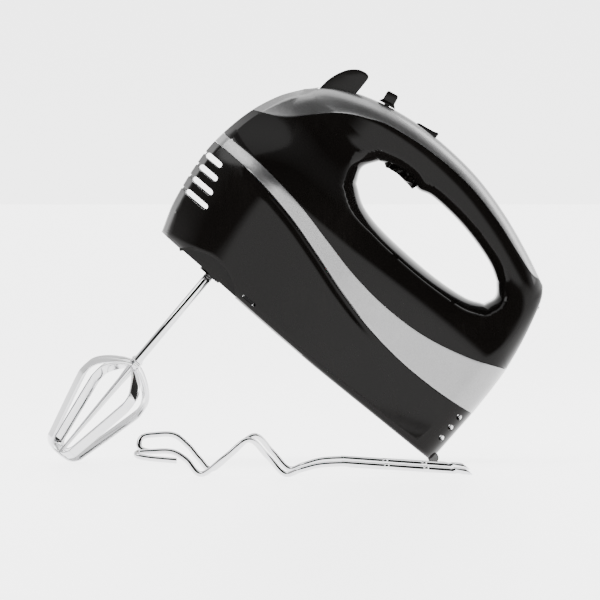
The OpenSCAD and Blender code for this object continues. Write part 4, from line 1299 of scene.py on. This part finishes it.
def motor():
    """Both stacks of laminations, and the rotor's windings where they stand out of its slots."""
    start = (CORE_X - CORE_LENGTH / 2, 0, MOTOR_Z)
    for name, cad, outline, bore, body in (
            ("stator_laminations", "stator_core", square_outline(CORE_WIDTH - 0.2, 1.2),
             ROTOR_RADIUS + 0.55, "housing"),
            ("rotor_laminations", "rotor_core", slotted_outline(ROTOR_RADIUS - 0.05), SHAFT_RADIUS, "rotor")):
        stack = repeated(name, ROW, "laminations", lamination("one_sheet", outline, bore),
                         Count=int(CORE_LENGTH / 0.5), Step=(0.0, 0.0, 0.0005))
        shade(stack, 25)
        mount(placed(stack, start, (0, 0, 1), MOTOR_AXIS), body, cad)
    crowns = []
    for side in (-1, 1):
        bundle = lathe("bundle", [(0.01, 0.1), (0.55, 0.3), (0.8, 2.6), (0.55, 5.0), (0.01, 5.4)], (0, 0, 0))
        put_points(bundle, (points_of(bundle) + [8.2 * MM, 0, 0]) * [1, 1.9, 1])
        crown = repeated("crown", RING, "copper_wire", bundle, Count=22)
        at = (CORE_X + side * CORE_LENGTH / 2, 0, MOTOR_Z)
        crowns.append(placed(crown, at, (0, 0, 1), (side, 0, 0)))
    wire = merged("rotor_wire", *crowns)
    shade(wire, 50)
    mount(wire, "rotor", "rotor_windings")


def field_coils():
    """Two racetrack coils of enamelled wire, over and under the rotor."""
    length, width = CORE_LENGTH + 9.6, 2 * ROTOR_RADIUS - 5.2
    corner = np.linspace(0, math.pi / 2, 7)
    coils = []
    for side in (-1, 1):
        strands = []
        for turn in range(5):
            inset = 0.45 + turn * 0.82
            a, b, r = length / 2 - inset, width / 2 - inset, 3.4 - turn * 0.4
            quarter = np.stack([a - r + r * np.cos(corner), b - r + r * np.sin(corner)], axis=1)
            path = np.vstack([quarter, quarter[::-1] * [-1, 1], quarter * [-1, -1], quarter[::-1] * [1, -1]])
            path = np.column_stack([path, np.zeros(len(path))])
            strands.append(sweep("turn", path, circle(0, 0, 0.4, 8), closed=True))
        layer = merged("layer", *strands)
        put_points(layer, points_of(layer))
        stack = repeated("stack", ROW, "copper_wire", layer, Count=5, Step=(0.0, 0.0, 0.00082))
        coils.append(placed(stack, (CORE_X, 0, MOTOR_Z + side * (ROTOR_RADIUS + 3.5) - 1.64)))
    piece = merged("field_windings", *coils)
    shade(piece, 60)
    mount(piece, "housing", "field_coils")


def commutator():
    """Copper bars round a moulded core."""
    centre = part_centre("commutator")
    bar = prism("bar", [(3.2, 0.1), (8.95, 0.1), (8.95, 11.9), (3.2, 11.9)], -0.98, 0.98)
    points = points_of(bar)
    points[:, 1] *= np.clip(points[:, 0] / (8.95 * MM), 0.35, 1)
    put_points(bar, points)
    bars = repeated("commutator_bars", RING, "copper_wire", bar, Count=24)
    mount(placed(bars, (centre[0] - 6, 0, MOTOR_Z), (0, 0, 1), MOTOR_AXIS), "rotor", "commutator")


def springs():
    """The coil springs that lift the eject button, one round each drive sleeve."""
    height, middle = 16.2, part_centre("eject_spring")[2]
    coils = []
    for side in (-1, 1):
        coil = repeated("coil", SPRING, "machined_steel", Turns=6.5, Radius=0.0053,
                        Height=(height - 0.9) * MM, Wire_Radius=0.00042)
        coils.append(placed(coil, (BEATER_X, side * BEATER_Y, middle - height / 2 + 0.45)))
    piece = merged("eject_springs", *coils)
    shade(piece, 70)
    mount(piece, "eject", "eject_spring")


SCREW = [(0.01, -0.26), (1.6, -0.25), (2.5, -0.1), (2.85, 0.15), (2.85, 0.45), (1.5, 0.5),
         (1.45, 1.2), (1.1, 8.2), (0.01, 8.65)]


def base_screws():
    """Four self-tapping screws: a pan head with a cross recess, and a threaded shank."""
    places = ((25.5, 15), (25.5, -15), (BEATER_X - 17, 12), (BEATER_X - 17, -12))
    parts = []
    for x, y in places:
        head = lathe("head", SCREW, (x, y, 0), segments=32)
        for wide, narrow in ((0.28, 1.5), (1.5, 0.28)):
            cut_away(head, block("cross", x - wide, x + wide, y - narrow, y + narrow, -1, 0.1))
        parts.append(head)
    for x, y in places:
        coil = repeated("thread", SPRING, "machined_steel", Turns=6.0, Radius=0.00125, Height=0.0068,
                        Wire_Radius=0.00016)
        parts.append(placed(coil, (x, y, 1.2)))
    piece = merged("base_screw_set", *parts)
    shade(piece, 40)
    mount(piece, "housing", "base_screws")


# ---- camera, light and floor
def studio():
    scene = bpy.context.scene
    aim = Vector((-0.0742, 0.0, 0.0899))
    distance, height, view_width = 3.0, 0.165, 0.336
    place = Vector((aim.x, -distance, height))
    camera = bpy.data.objects.new("camera", bpy.data.cameras.new("camera"))
    scene.collection.objects.link(camera)
    camera.location = place
    camera.rotation_euler = (aim - place).to_track_quat("-Z", "Y").to_euler()
    camera.data.sensor_width = 36
    camera.data.lens = 36 * distance / view_width
    camera.data.clip_end = 50
    scene.camera = camera
    backdrop()
    softbox("key", (-0.75, -0.35, 1.0), (0.4, 0.4), 4)
    softbox("rim", (0.9, 0.4, 0.8), (0.5, 1.0), 8)
    softbox("over", (-0.1, 0.1, 1.5), (1.3, 0.9), 7)
    surroundings()


def backdrop():
    """A plain pale floor that reaches out of sight on every side."""
    corners = [(-20.0, -20.0, 0.0), (20.0, -20.0, 0.0), (20.0, 20.0, 0.0), (-20.0, 20.0, 0.0)]
    floor = make_object("backdrop", corners, [(0, 1, 2, 3)], at_rest=True)
    f = Finish("pale_floor", IOR=1.4, Emission_Color=(1.0, 1.0, 1.0, 1.0), Emission_Strength=3.2)
    tone = f.blend(f.noise(6.0), (0.93, 0.93, 0.928), (0.96, 0.96, 0.96))
    f.link(Base_Color=tone, Roughness=f.patchy(40.0, 0.32, 0.4))
    floor.data.materials.append(f.material)


def softbox(name, place, size, power):
    light = bpy.data.lights.new(name, "AREA")
    light.shape = "RECTANGLE"
    light.size, light.size_y = size
    light.energy = power
    obj = bpy.data.objects.new(name, light)
    bpy.context.scene.collection.objects.link(obj)
    obj.location = place
    obj.rotation_euler = (Vector((-0.07, 0, 0.08)) - Vector(place)).to_track_quat("-Z", "Y").to_euler()


def surroundings():
    """A white studio with a dark screen above the camera's side."""
    world = bpy.data.worlds.new("studio")
    world.use_nodes = True
    tree = world.node_tree
    direction = node(tree, "ShaderNodeTexCoord").outputs["Generated"]
    parts = node(tree, "ShaderNodeSeparateXYZ", {"Vector": direction})
    sideways = remap(tree, parts.outputs["Y"], 0.1, -0.4, 0.0, 1.0)
    upwards = remap(tree, parts.outputs["Z"], 0.07, 0.22, 0.0, 1.0)
    screen = calculate(tree, "MULTIPLY", sideways, upwards, True)
    overhead = remap(tree, parts.outputs["Z"], 0.0, 0.5, 4.2, 1.5)
    light = calculate(tree, "MULTIPLY", remap(tree, screen, 0.0, 1.0, 1.0, 0.004), overhead)
    tree.nodes["Background"].inputs["Color"].default_value = (1.0, 1.0, 1.0, 1.0)
    tree.links.new(light, tree.nodes["Background"].inputs["Strength"])
    bpy.context.scene.world = world


for build in (lower_housing, upper_housing, side_band, top_cover):
    shell = build()
    shade(shell)
    mount(shell, "housing", build.__name__)
for build, body in ((eject_button, "eject"), (speed_slider, "speed_slider"), (turbo_button, "turbo_button")):
    knob = build()
    shade(knob, 32)
    mount(knob, body, build.__name__)
beaters()
hooks()
motor()
field_coils()
commutator()
springs()
base_screws()
paint_kept_nodes()
studio()
